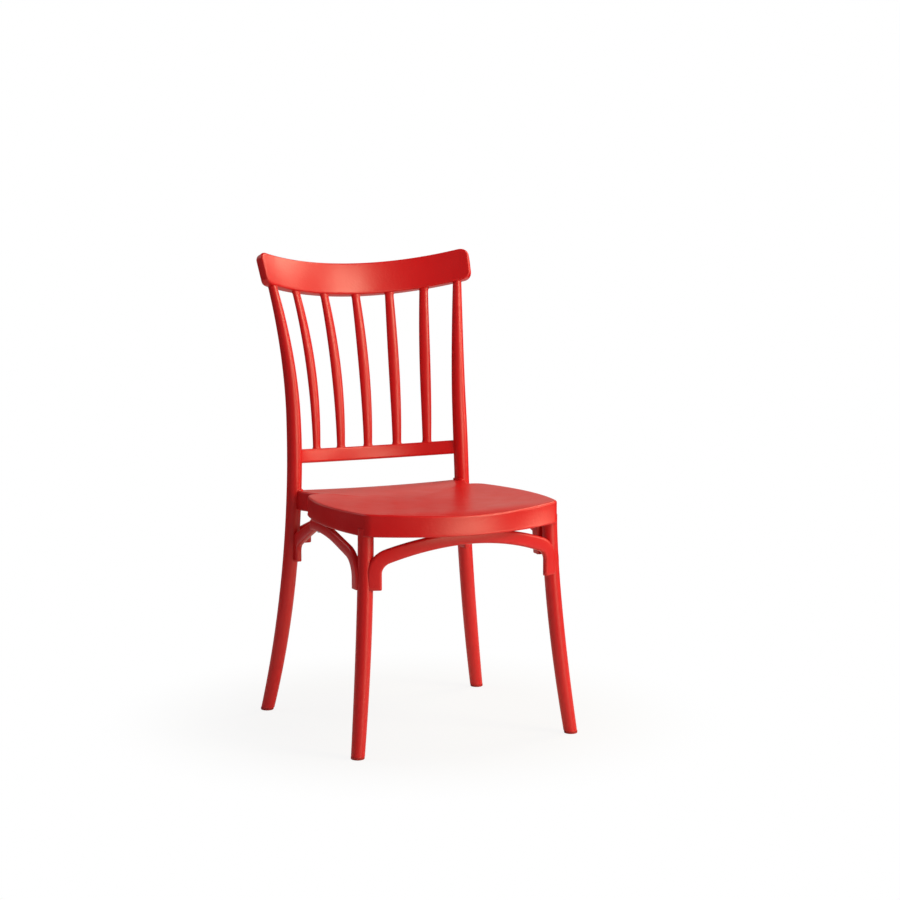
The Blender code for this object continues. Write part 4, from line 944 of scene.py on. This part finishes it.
def add_post_block(shell, side, outline):
    """The block inside the seat's ear that a post is bolted to, its outer face along the ear's wall."""
    seat = sizes("seat")
    fixings = sizes("fixings")
    post = post_axis(seat.skirt)
    inner = post.x - fixings.block_reach
    front = post.y - fixings.post_block
    rear = seat.rear - seat.wall / 2
    ear_y = post.y - sizes("legs").radius
    slant = (post.x - seat.notch) / (ear_y - seat.shoulder)
    start_x = seat.notch + (front - seat.shoulder) * slant - seat.wall / 2
    end_x = post.x - seat.wall / 2
    corners = ((inner, front), (start_x, front), (end_x, ear_y), (end_x, rear), (inner, rear))
    high = panel_height(post.x, post.y, outline) - seat.panel / 2
    shell.loft([[Vector((x, y, z)) for x, y in corners] for z in (seat.skirt, high)], side=side)


class CHAIR_OT_seat(Operator):
    """Build the moulded seat with its rim, skirt, ribs, collars and blocks"""

    bl_idname = "chair.seat"
    bl_label = "Seat"

    def execute(self, context):
        seat = sizes("seat")
        fixings = sizes("fixings")
        outline = seat_outline()
        shell = Shell()
        shell.loft(seat_rings(outline), start="point", end="point")
        add_ribs(shell, outline)
        leg = front_axis(seat.skirt)
        outward, forward = fixings.leg_block
        top = panel_height(leg.x, leg.y, outline) - seat.panel / 2
        low = Vector((leg.x - fixings.block_reach, leg.y - forward, seat.skirt))
        high = Vector((leg.x + outward, leg.y + fixings.lug_y[1], top))
        for label, side in SIDES:
            add_collar(shell, side)
            add_post_block(shell, side, outline)
            block(shell, low, high, fixings.block_edge, side)
        material = moulded_polypropylene()
        add_piece("moulded_seat", shell.mesh("moulded_seat"), material, ["seat_shell"])
        return {"FINISHED"}


# Legs and posts


def cut_level(mesh, z):
    """Cut a mesh off level at a height, keep what is above and close it."""
    shape = bmesh.new()
    shape.from_mesh(mesh)
    every = shape.verts[:] + shape.edges[:] + shape.faces[:]
    bmesh.ops.bisect_plane(shape, geom=every, plane_co=(0, 0, z), plane_no=(0, 0, 1), clear_inner=True)
    edges = [edge for edge in shape.edges if edge.is_boundary]
    bmesh.ops.holes_fill(shape, edges=edges)
    shape.to_mesh(mesh)
    shape.free()
    smoothed(mesh, sharp=40)


def leg_path(axis, radius, heights, side):
    """Stops along a leg: place, facing and thickness as a share of the full leg."""
    full = sizes("legs").radius
    stops = []
    for z in heights:
        at = axis(z)
        stops.append((Vector((side * at.x, at.y, z)), Vector((0, -1, 0)), radius(z) / full))
    return stops


class CHAIR_OT_legs(Operator):
    """Build the front legs and the rear posts, each a rear leg and a back upright in one"""

    bl_idname = "chair.legs"
    bl_label = "Legs and posts"

    def execute(self, context):
        legs = sizes("legs")
        seat = sizes("seat")
        material = moulded_polypropylene()
        thick = 2 * legs.radius
        leg_stops = spread(-legs.spare, seat.skirt + legs.into_seat, 72)
        post_stops = spread(-legs.spare, legs.post_top[2] + legs.into_crest, 150)
        for label, side in SIDES:
            leg = leg_path(front_axis, leg_radius, leg_stops, side)
            post = leg_path(post_axis, post_radius, post_stops, side)
            for kind, node, path in (("front_leg", "front_leg", leg), ("post", "rear_post", post)):
                name = f"moulded_{kind}_{label}"
                mesh = swept(name, [path], thick, thick, legs.sides, material)
                cut_level(mesh, legs.glide)
                add_piece(name, mesh, material, [f"{node}_{label}"])
        return {"FINISHED"}


# A foot cap: how far in its upper face reaches, as a share of its radius, the width of the outer ring of its
# flat underside, and the angle at which the rounding of its edge starts
CAP_INNER = 0.6
CAP_UNDERSIDE = 0.004
CAP_EDGE_FROM = 0.2


class CHAIR_OT_glides(Operator):
    """Build the four foot caps"""

    bl_idname = "chair.glides"
    bl_label = "Foot glides"

    def execute(self, context):
        legs = sizes("legs")
        radius = legs.foot_radius
        edge = legs.glide_edge
        line = legs.glide_line
        inner = CAP_INNER * radius
        profile = [(0.0, radius - edge - CAP_UNDERSIDE), (0.0, radius - edge)]
        for t in spread(CAP_EDGE_FROM, math.pi / 2, 6):
            profile.append((edge * (1 - math.cos(t)), radius - edge * (1 - math.sin(t))))
        profile += [(legs.glide - line, radius), (legs.glide, radius - line), (legs.glide, inner)]
        turns = full_turn(legs.sides)
        rings = []
        for z, far in profile:
            rings.append([Vector((far * math.cos(t), far * math.sin(t), z)) for t in turns])
        shell = Shell()
        shell.loft(rings)
        master = shell.mesh("foot_cap")
        master.transform(Matrix.Translation(-FEET_MIDDLE))
        material = moulded_nylon()
        feet = [legs.front_foot, legs.rear_foot]
        places = [(Vector((side * x, y, 0)), (0, 0, 0)) for x, y in feet for label, side in SIDES]
        mesh = repeated("moulded_foot_caps", master, places, material)
        nodes = both("foot_glide_front", "foot_glide_rear")
        add_piece("moulded_foot_caps", mesh, material, nodes)
        return {"FINISHED"}


# Back


def corner_drop(radius, distance):
    """How far a rounded corner has fallen away at a distance from the end of the rail."""
    short = max(radius - distance, 0.0)
    return radius - math.sqrt(radius**2 - short**2)


class CHAIR_OT_crest(Operator):
    """Build the curved top rail with its rounded corners"""

    bl_idname = "chair.crest"
    bl_label = "Crest rail"

    def execute(self, context):
        back = sizes("back")
        line = crest_line()
        half = back.crest_half
        edge = back.crest_edge
        ends = [back.corner_high * (1 - math.cos(t)) for t in spread(0, math.pi / 2, 18)]
        inner = half - ends[-1]
        right = [half - distance for distance in ends]
        rings = []
        for x in right + spread(inner, -inner, 90)[1:-1] + [-x for x in reversed(right)]:
            distance = half - abs(x)
            front = corner_drop(back.crest_nose, distance)
            rear = corner_drop(back.crest_heel, distance)
            high = corner_drop(back.corner_high, distance)
            low = corner_drop(back.corner_low, distance)
            centre, across, rise = back_section(*line, x)
            thick = back.crest_thick - front - rear
            tall = back.crest_height - high - low
            middle = centre + rise * ((low - high) / 2) + across * ((rear - front) / 2)
            # Near the ends the rail is thinner than two roundings
            round_off = min(edge, thick * 0.499)
            ring = box_section(middle, across, rise, thick, tall, round_off, steps=9)
            fall = corner_drop(back.rear_corner, distance) - high
            for point in ring:
                from_middle = point - middle
                if from_middle.dot(rise) > 0:
                    point -= rise * (fall * max(-2 * from_middle.dot(across) / thick, 0.0))
                point.x *= 1 + back.flare * (point - centre).dot(rise) / back.crest_height
            rings.append(ring)
        shell = Shell()
        shell.loft(rings)
        material = moulded_polypropylene()
        mesh = shell.mesh("moulded_crest_rail", sharp=50)
        add_piece("moulded_crest_rail", mesh, material, ["crest_rail"])
        return {"FINISHED"}


class CHAIR_OT_rail(Operator):
    """Build the lower back rail between the posts"""

    bl_idname = "chair.rail"
    bl_label = "Lower back rail"

    def execute(self, context):
        back = sizes("back")
        line = rail_line()
        reach = line[0].x - sizes("legs").radius + back.rail_sunk
        size = (back.rail_thick, back.rail_height, back.rail_edge)
        rings = []
        for x in spread(reach, -reach, 80):
            centre, across, rise = back_section(*line, x)
            rings.append(box_section(centre, across, rise, *size, steps=8))
        shell = Shell()
        shell.loft(rings)
        material = moulded_polypropylene()
        mesh = shell.mesh("moulded_back_rail", sharp=50)
        add_piece("moulded_back_rail", mesh, material, ["lower_back_rail"])
        return {"FINISHED"}


# Stops close together near a spindle's ends, as shares of its length
SPINDLE_ENDS = (0.0, 0.004, 0.008, 0.013, 0.02, 0.03)


def spindle_path(index):
    """Stops up one spindle, which swells to its middle and spreads into a small web at each rail."""
    back = sizes("back")
    rail = rail_line()
    crest = crest_line()
    order = index - (back.spindles - 1) / 2
    spots = []
    for (end, bow, lean), pitch in ((rail, back.pitch_low), (crest, back.pitch_high)):
        radius = bow_radius(end, bow)
        spots.append(radius * math.sin(order * pitch / radius))
    low, across, rise = back_section(*rail, spots[0])
    low = low + rise * (back.rail_height / 2)
    high, face, rise = back_section(*crest, spots[1])
    high = high - rise * (back.crest_height / 2)
    tall = high.z - low.z
    face = Vector((face.x, face.y, 0)).normalized()
    sunk = back.spindle_sunk / tall
    last = SPINDLE_ENDS[-1]
    shares = [-sunk, *SPINDLE_ENDS, *spread(last, 1 - last, 40)[1:-1]]
    shares += [1 - share for share in reversed(SPINDLE_ENDS)] + [1 + sunk]
    stops = []
    for share in shares:
        held = max(share, 0.0)
        x = low.x + (high.x - low.x) * held**back.spread
        y = low.y + (high.y - low.y) * held**back.sweep
        inside = min(held, 1.0)
        swell = back.neck + (1 - back.neck) * math.sin(math.pi * inside)
        near = min(inside, 1 - inside) * tall
        swell += back.web_swell * max(1 - near / back.web, 0.0) ** 2
        stops.append((Vector((x, y, low.z + tall * share)), face, swell))
    return stops


class CHAIR_OT_spindles(Operator):
    """Build the five flat oval spindles of the back"""

    bl_idname = "chair.spindles"
    bl_label = "Back spindles"

    def execute(self, context):
        back = sizes("back")
        material = moulded_polypropylene()
        paths = [spindle_path(i) for i in range(back.spindles)]
        mesh = swept("moulded_spindles", paths, back.wide, back.deep, back.spindle_sides, material)
        nodes = [f"spindle_{i + 1}" for i in range(back.spindles)]
        add_piece("moulded_spindles", mesh, material, nodes)
        return {"FINISHED"}


# Arched braces


def arch_half(reach, crown_z, crown_radius, end_z, bend, flank=None):
    """Half of an arch's middle line, foot to crown: (distance from the crown, height).

    The strip rises up the leg, bends over, runs straight at the flank's slope and curves over the crown.
    Without a flank the bend runs straight into the crown's curve.
    """
    bend_reach = reach - bend
    centre_z = crown_z - crown_radius
    slope = math.asin(bend_reach / (crown_radius - bend)) if flank is None else flank
    turn = math.pi / 2 - slope
    curve_end = (crown_radius * math.sin(slope), centre_z + crown_radius * math.cos(slope))
    bend_end = bend_reach + bend * math.sin(slope)
    bend_z = curve_end[1] - (bend_end - curve_end[0]) * math.tan(slope) - bend * math.cos(slope)
    line = [(reach, z) for z in spread(end_z, bend_z, 6)[:-1]]
    line += [(bend_reach + bend * math.cos(t), bend_z + bend * math.sin(t)) for t in spread(0, turn, 16)]
    if flank is not None:
        start = Vector(line[-1])
        line += [tuple(start.lerp(Vector(curve_end), share)) for share in spread(0, 1, 14)[1:-1]]
    steps = spread(turn, math.pi / 2, 30)
    for t in steps[1:] if flank is None else steps:
        line.append((crown_radius * math.cos(t), centre_z + crown_radius * math.sin(t)))
    return line


def arch_rings(halves, plan, widths, swell, edge):
    """Sections along an arch; plan turns a distance from the crown into a place in plan."""
    arches = sizes("arches")
    first, second = halves
    crown, start, end = widths
    line = [(-s, z) for s, z in first] + [(s, z) for s, z in reversed(second)][1:]
    step = 0.001
    rings = []
    for i, (s, z) in enumerate(line):
        before = line[max(i - 1, 0)]
        after = line[min(i + 1, len(line) - 1)]
        level_run = (plan(s + step) - plan(s - step)).normalized()
        way = Vector((after[0] - before[0], after[1] - before[1])).normalized()
        run = Vector((level_run.x * way.x, level_run.y * way.x, way.y))
        across = Vector((-level_run.y, level_run.x, 0))
        at = plan(s)
        centre = Vector((at.x, at.y, z))
        reach = abs(s) / (first if s < 0 else second)[0][0]
        width = crown + ((start, end)[s > 0] - crown) * reach**swell
        axes = (across, run.cross(across))
        ends = {0: -1, len(line) - 1: 1}
        if i in ends:
            cut = arches.cut
            slim = box_section(centre, *axes, arches.thick - 2 * cut, width - 2 * cut, edge - cut)
            full = box_section(centre - run * (ends[i] * cut), *axes, arches.thick, width, edge)
            rings += [slim, full] if i == 0 else [full, slim]
        else:
            rings.append(box_section(centre, *axes, arches.thick, width, edge))
    return rings


def front_arch():
    """The front arch, which bows forward between the legs."""
    arches = sizes("arches")
    leg = front_axis(arches.end_z)
    reach = leg.x - arches.aside
    crown, end = arches.front_width
    half = arch_half(reach, arches.front_crown, arches.front_radius, arches.end_z, arches.front_bend)

    def plan(s):
        bow = arches.front_bow * (1 - (s / reach) ** 2)
        return Vector((s, leg.y - arches.front_set - bow))

    return arch_rings((half, half), plan, (crown, end, end), arches.swell[0], arches.edge[0])


def rear_arch():
    """A plain arc that butts on the posts."""
    arches = sizes("arches")
    post = post_axis(arches.rear_crown - arches.rear_rise)
    radius = (post.x**2 + arches.rear_rise**2) / (2 * arches.rear_rise)
    turns = spread(math.asin(post.x / radius), 0, 40)
    half = [(radius * math.sin(t), arches.rear_crown - radius + radius * math.cos(t)) for t in turns]

    def plan(s):
        bow = arches.rear_bow * (1 - (s / post.x) ** 2)
        return Vector((s, post.y + arches.rear_set - bow))

    crown, end = arches.rear_width
    return arch_rings((half, half), plan, (crown, end, end), arches.swell[1], arches.edge[1])


def side_arch():
    """The right side arch: it runs under the seat's side, then sweeps in past the shoulder to the post."""
    arches = sizes("arches")
    leg = front_axis(arches.end_z)
    post = post_axis(arches.end_z)
    front_y = leg.y + arches.aside
    crown_y, crown_z = arches.side_crown
    rear_y = post.y - arches.aside
    bend = arches.side_bend
    radii = arches.side_radius
    front = arch_half(crown_y - front_y, crown_z, radii[0], arches.end_z, bend[0], arches.front_flank)
    rear = arch_half(rear_y - crown_y, crown_z, radii[1], arches.post_end_z, bend[1], arches.rear_flank)
    front_x = leg.x + arches.side_set[0]
    rear_x = post.x - arches.side_set[1]
    sweep_from, sweep_to = arches.side_sweep

    def plan(s):
        y = crown_y + s
        if y < sweep_from:
            share = (sweep_from - y) / (sweep_from - front_y)
            return Vector((arches.side_middle + (front_x - arches.side_middle) * share**2, y))
        share = min((y - sweep_from) / (sweep_to - sweep_from), 1.0)
        return Vector((arches.side_middle + (rear_x - arches.side_middle) * share**2 * (3 - 2 * share), y))

    return arch_rings((front, rear), plan, arches.side_width, arches.swell[1], arches.edge[1])


class CHAIR_OT_arches(Operator):
    """Build the four arched braces under the seat"""

    bl_idname = "chair.arches"
    bl_label = "Arched braces"

    def execute(self, context):
        material = moulded_polypropylene()
        made = [("front", front_arch(), 1), ("rear", rear_arch(), 1)]
        made += [(label, side_arch(), side) for label, side in SIDES]
        for label, rings, side in made:
            shell = Shell()
            shell.loft(rings, side=side)
            mesh = shell.mesh(f"moulded_arch_{label}", sharp=50)
            add_piece(f"moulded_arch_{label}", mesh, material, [f"arch_{label}"])
        return {"FINISHED"}


# Lugs and fasteners


class CHAIR_OT_lugs(Operator):
    """Build the stacking lugs: under the seat at the front legs, inside the side arches at the posts"""

    bl_idname = "chair.lugs"
    bl_label = "Stacking lugs"

    def execute(self, context):
        fixings = sizes("fixings")
        arches = sizes("arches")
        skirt = sizes("seat").skirt
        leg = front_axis(skirt)
        post = post_axis(arches.end_z)
        bottom = fixings.lug_bottom
        thick, deep, tall = fixings.rear_lug
        outer = post.x - arches.side_set[1] - arches.thick / 2 - fixings.clearance
        front = post.y - fixings.rear_lug_forward
        front_low = Vector((leg.x - fixings.lug_x[1], leg.y + fixings.lug_y[0], bottom))
        front_high = Vector((leg.x - fixings.lug_x[0], leg.y + fixings.lug_y[1], skirt + fixings.lug_sunk))
        rear_low = Vector((outer - thick, front, bottom))
        rear_high = Vector((outer, front + deep, bottom + tall))
        lugs = (("front", front_low, front_high, fixings.lug_lean), ("rear", rear_low, rear_high, 0.0))
        material = moulded_polypropylene()
        for label, side in SIDES:
            for end, low, high, lean in lugs:
                name = f"moulded_lug_{end}_{label}"
                shell = Shell()
                block(shell, low, high, fixings.lug_round, side, lean)
                add_piece(name, shell.mesh(name), material, [f"stacking_lug_{end}_{label}"])
        return {"FINISHED"}


# A screw head, in shares of its own size: (radius, height) of its rings, then the cross in its face
HEAD_PROFILE = ((0.99, 0.0), (1.0, -0.5), (0.96, -0.68), (0.86, -0.85), (0.72, -0.95))
CROSS_ARM = 0.18
CROSS_REACH = 0.62
CROSS_TAPER = 0.7
CROSS_FLOOR = 0.35


def screw_head():
    """A low domed head with a cross recess, its face towards -Z and its seat at the origin."""
    fixings = sizes("fixings")
    radius = fixings.head_radius
    tall = fixings.head
    shape = bmesh.new()
    count = 32
    arm = CROSS_ARM * radius
    reach = CROSS_REACH * radius
    turns = full_turn(count)
    rings = []
    for share, z in HEAD_PROFILE:
        far = share * radius
        ring = [(far * math.cos(t), far * math.sin(t), z * tall) for t in turns]
        rings.append([shape.verts.new(point) for point in ring])
    for low, high in zip(rings, rings[1:]):
        for i in range(count):
            j = (i + 1) % count
            shape.faces.new((low[i], low[j], high[j], high[i]))
    cross = []
    for a, b in ((1, 0), (0, 1), (-1, 0), (0, -1)):
        along = Vector((a, b, 0))
        across = Vector((-b, a, 0))
        cross += [along * reach - across * arm, along * reach + across * arm, (along + across) * arm]
    face = [shape.verts.new(p - UP * tall) for p in cross]
    floor = [shape.verts.new(p * CROSS_TAPER - UP * (CROSS_FLOOR * tall)) for p in cross]
    for i in range(len(cross)):
        j = (i + 1) % len(cross)
        shape.faces.new((face[i], face[j], floor[j], floor[i]))
    shape.faces.new(floor)
    rim = [shape.edges.get((a, b)) for a, b in zip(rings[-1], rings[-1][1:] + rings[-1][:1])]
    mouth = [shape.edges.get((a, b)) for a, b in zip(face, face[1:] + face[:1])]
    bmesh.ops.triangle_fill(shape, edges=rim + mouth, use_beauty=True)
    shape.faces.new(rings[0])
    mesh = bpy.data.meshes.new("screw_head")
    shape.to_mesh(mesh)
    shape.free()
    return smoothed(mesh, sharp=30)


class CHAIR_OT_fasteners(Operator):
    """Set the heads of the screws and bolts in their places under the chair"""

    bl_idname = "chair.fasteners"
    bl_label = "Screws and bolts"

    def execute(self, context):
        fixings = sizes("fixings")
        arches = sizes("arches")
        seat = sizes("seat")
        sunk = fixings.head * fixings.head_sunk
        faces = {"arch_screw_front": arches.front_crown - arches.front_width[0] / 2}
        faces.update((node, fixings.lug_bottom) for node in both("lug_bolt_front"))
        clear_of_wall = seat.rear - seat.wall - fixings.head_radius
        nodes = [f"arch_screw_{end}" for end in ("front", "rear", "left", "right")]
        nodes += both("leg_bolt", "post_bolt", "lug_bolt_front", "lug_bolt_rear")
        places = []
        for node in nodes:
            low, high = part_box(node)
            middle = (low + high) / 2 - FEET_MIDDLE
            size = high - low
            middle.y = min(middle.y, clear_of_wall)
            if size.z > size.x:
                face = faces.get(node, low.z)
                places.append((Vector((middle.x, middle.y, face + sunk)), (0, 0, fixings.head_turn)))
            else:
                inner = low.x if middle.x > 0 else high.x
                out = 1 if middle.x > 0 else -1
                at = Vector((inner + out * sunk, middle.y, middle.z))
                places.append((at, (0, out * math.pi / 2, 0)))
        material = zinc_plated_steel()
        mesh = repeated("zinc_screw_heads", screw_head(), places, material)
        add_piece("zinc_screw_heads", mesh, material, nodes)
        for name, node in frame["nodes"].items():
            if name.startswith("arch_dowel"):
                node.material_slots[0].material = moulded_polypropylene()
        return {"FINISHED"}


# Stage


def add_softbox(name, at, target, size, power, tint):
    """A rectangular light at a place, turned to face a target."""
    light = bpy.data.lights.new(name, "AREA")
    light.shape = "RECTANGLE"
    light.size, light.size_y = size
    light.energy = power
    light.color = tint
    box = bpy.data.objects.new(name, light)
    box.location = at
    box.rotation_euler = (Vector(target) - box.location).to_track_quat("-Z", "Y").to_euler()
    bpy.context.scene.collection.objects.link(box)


def ray_kinds(tree):
    """Outputs that are 1 for rays from the camera, and for rays that a glossy or clear surface sends on."""
    path = add_node(tree, "ShaderNodeLightPath").outputs
    links = {0: path["Is Glossy Ray"], 1: path["Is Transmission Ray"]}
    return path["Is Camera Ray"], add_node(tree, "ShaderNodeMath", links, operation="MAXIMUM").outputs[0]


def studio_floor():
    """Matt white paper: it keeps a faint shadow near the feet and melts into the white further out."""
    stage = sizes("stage")
    material, tree, shader = new_material("white_paper_floor")
    shader.inputs["Base Color"].default_value = (*sizes("finish").floor, 1)
    shader.inputs["Roughness"].default_value = 0.9
    shader.inputs["Specular IOR Level"].default_value = 0.1
    white = add_node(tree, "ShaderNodeEmission", {"Color": (1, 1, 1, 1), "Strength": 1.0})
    where = add_node(tree, "ShaderNodeTexCoord").outputs["Object"]
    far = add_node(tree, "ShaderNodeVectorMath", {0: where}, operation="LENGTH")
    start, end = stage.shadow_reach
    links = {"Value": far.outputs["Value"], "From Min": start, "From Max": end}
    links |= {"To Min": 1 - stage.shadow, "To Max": 1.0}
    melt = add_node(tree, "ShaderNodeMapRange", links, interpolation_type="SMOOTHSTEP")
    seen, mirrored = ray_kinds(tree)
    start, end = stage.paper_fade
    links = {"Value": far.outputs["Value"], "From Min": start, "From Max": end}
    edge = add_node(tree, "ShaderNodeMapRange", links, interpolation_type="SMOOTHSTEP")
    links = {0: edge.outputs["Result"], 1: mirrored}
    round_it = add_node(tree, "ShaderNodeMath", links, operation="MULTIPLY")
    links = {0: melt.outputs["Result"], 1: seen, 2: round_it.outputs[0]}
    share = add_node(tree, "ShaderNodeMath", links, operation="MULTIPLY_ADD")
    links = {0: share.outputs[0], 1: shader.outputs["BSDF"], 2: white.outputs["Emission"]}
    mixed = add_node(tree, "ShaderNodeMixShader", links)
    tree.links.new(mixed.outputs[0], tree.nodes["Material Output"].inputs["Surface"])
    return material


# Where the backdrop lies: its direction, how near to that it starts and is full, and where it fades upwards
BACKDROP_WAY = (0.2, 0.5, 1.2)
BACKDROP_NEAR = (0.42, 0.75)
BACKDROP_FADE = (0.2, 0.45)


def studio_world():
    """White behind the chair, an even dim light all round, and a backdrop that glossy surfaces mirror.

    The backdrop stands low behind the chair, so the room above, in front and at the sides stays dark in
    mirrored rays.
    """
    stage = sizes("stage")
    world = bpy.data.worlds.new("studio_world")
    world.use_nodes = True
    tree = world.node_tree
    sky = tree.nodes["Background"]
    where = add_node(tree, "ShaderNodeTexCoord").outputs["Generated"]
    way = add_node(tree, "ShaderNodeSeparateXYZ", {"Vector": where}).outputs
    lie = add_node(tree, "ShaderNodeVectorMath", {0: where, 1: BACKDROP_WAY}, operation="DOT_PRODUCT")
    links = {"Value": lie.outputs["Value"], "From Min": BACKDROP_NEAR[0], "From Max": BACKDROP_NEAR[1]}
    links["To Max"] = stage.backdrop
    behind = add_node(tree, "ShaderNodeMapRange", links, interpolation_type="SMOOTHSTEP")
    links = {"Value": way["Z"], "From Min": BACKDROP_FADE[0], "From Max": BACKDROP_FADE[1]}
    links |= {"To Min": 1.0, "To Max": 0.0}
    below = add_node(tree, "ShaderNodeMapRange", links, interpolation_type="SMOOTHSTEP")
    links = {0: behind.outputs["Result"], 1: below.outputs["Result"]}
    backdrop = add_node(tree, "ShaderNodeMath", links, operation="MULTIPLY")
    seen, mirrored = ray_kinds(tree)
    half_warm = [(1 + v) / 2 for v in sizes("finish").warm]
    links = {0: mirrored, 6: (1, 1, 1, 1), 7: (*half_warm, 1)}
    tint = add_node(tree, "ShaderNodeMix", links, data_type="RGBA")
    tree.links.new(tint.outputs[2], sky.inputs["Color"])
    links = {0: mirrored, 2: stage.sky, 3: backdrop.outputs[0]}
    light = add_node(tree, "ShaderNodeMix", links, data_type="FLOAT")
    links = {0: seen, 2: light.outputs[0], 3: 1.0}
    strength = add_node(tree, "ShaderNodeMix", links, data_type="FLOAT")
    tree.links.new(strength.outputs[0], sky.inputs["Strength"])
    return world


class CHAIR_OT_stage(Operator):
    """Set the camera, the white floor, the softboxes and the world behind them"""

    bl_idname = "chair.stage"
    bl_label = "Stage"

    def execute(self, context):
        stage = sizes("stage")
        scene = context.scene
        lens = bpy.data.cameras.new("photo_camera")
        lens.lens = stage.lens
        lens.sensor_width = 36.0
        camera = bpy.data.objects.new("photo_camera", lens)
        camera.location = Vector(stage.camera) + FEET_MIDDLE
        camera.rotation_euler = (math.pi / 2 - stage.pitch, 0, -stage.heading)
        scene.collection.objects.link(camera)
        scene.camera = camera
        scene.view_settings.view_transform = "Standard"
        scene.world = studio_world()
        sheet = bpy.data.meshes.new("studio_floor")
        half = stage.paper
        corners = [(-half, -half, 0), (half, -half, 0), (half, half, 0), (-half, half, 0)]
        sheet.from_pydata(corners, [], [(0, 1, 2, 3)])
        sheet.materials.append(studio_floor())
        floor = bpy.data.objects.new("studio_floor", sheet)
        scene.collection.objects.link(floor)
        warm = sizes("finish").warm
        # Each one's place, its width and height, its power and its tint
        softboxes = (
            ("key_softbox", (1.54, -1.84, 2.30), (0.9, 1.7), stage.key, warm),
            ("side_softbox", (1.62, 0.3, 2.15), (0.8, 1.1), stage.side, warm),
            ("edge_softbox", (2.75, -1.1, 1.0), (0.9, 1.1), stage.edge, warm),
            ("rear_softbox", (-1.5, 1.5, 2.62), (1.4, 1.4), stage.rear, (1, 1, 1)),
            ("fill_softbox", (1.0, -2.8, 0.7), (1.4, 1.0), stage.fill, warm),
        )
        for name, at, size, power, tint in softboxes:
            add_softbox(name, at, (0, 0, stage.aim_height), size, power, tint)
        return {"FINISHED"}


class CHAIR_PT_panel(Panel):
    """Lists the chair's pieces in the sidebar"""

    bl_idname = "CHAIR_PT_panel"
    bl_label = "Stacking chair"
    bl_space_type = "VIEW_3D"
    bl_region_type = "UI"
    bl_category = "Chair"

    def draw(self, context):
        for step in STEPS:
            self.layout.operator(step.bl_idname)


STEPS = (
    CHAIR_OT_seat,
    CHAIR_OT_legs,
    CHAIR_OT_glides,
    CHAIR_OT_crest,
    CHAIR_OT_rail,
    CHAIR_OT_spindles,
    CHAIR_OT_arches,
    CHAIR_OT_lugs,
    CHAIR_OT_fasteners,
    CHAIR_OT_stage,
)
GROUPS = (SeatSizes, LegSizes, BackSizes, ArchSizes, FixingSizes, Finish, StageSizes, ChairSettings)


def register():
    """Add the chair's classes and settings."""
    for kind in GROUPS + STEPS + (CHAIR_PT_panel,):
        bpy.utils.register_class(kind)
    bpy.types.Scene.chair = PointerProperty(type=ChairSettings)


def unregister():
    """Take the chair's classes and settings out again."""
    del bpy.types.Scene.chair
    for kind in reversed(GROUPS + STEPS + (CHAIR_PT_panel,)):
        bpy.utils.unregister_class(kind)


def main():
    register()
    bpy.ops.chair.seat()
    bpy.ops.chair.legs()
    bpy.ops.chair.glides()
    bpy.ops.chair.crest()
    bpy.ops.chair.rail()
    bpy.ops.chair.spindles()
    bpy.ops.chair.arches()
    bpy.ops.chair.lugs()
    bpy.ops.chair.fasteners()
    bpy.ops.chair.stage()


if __name__ == "__main__":
    main()
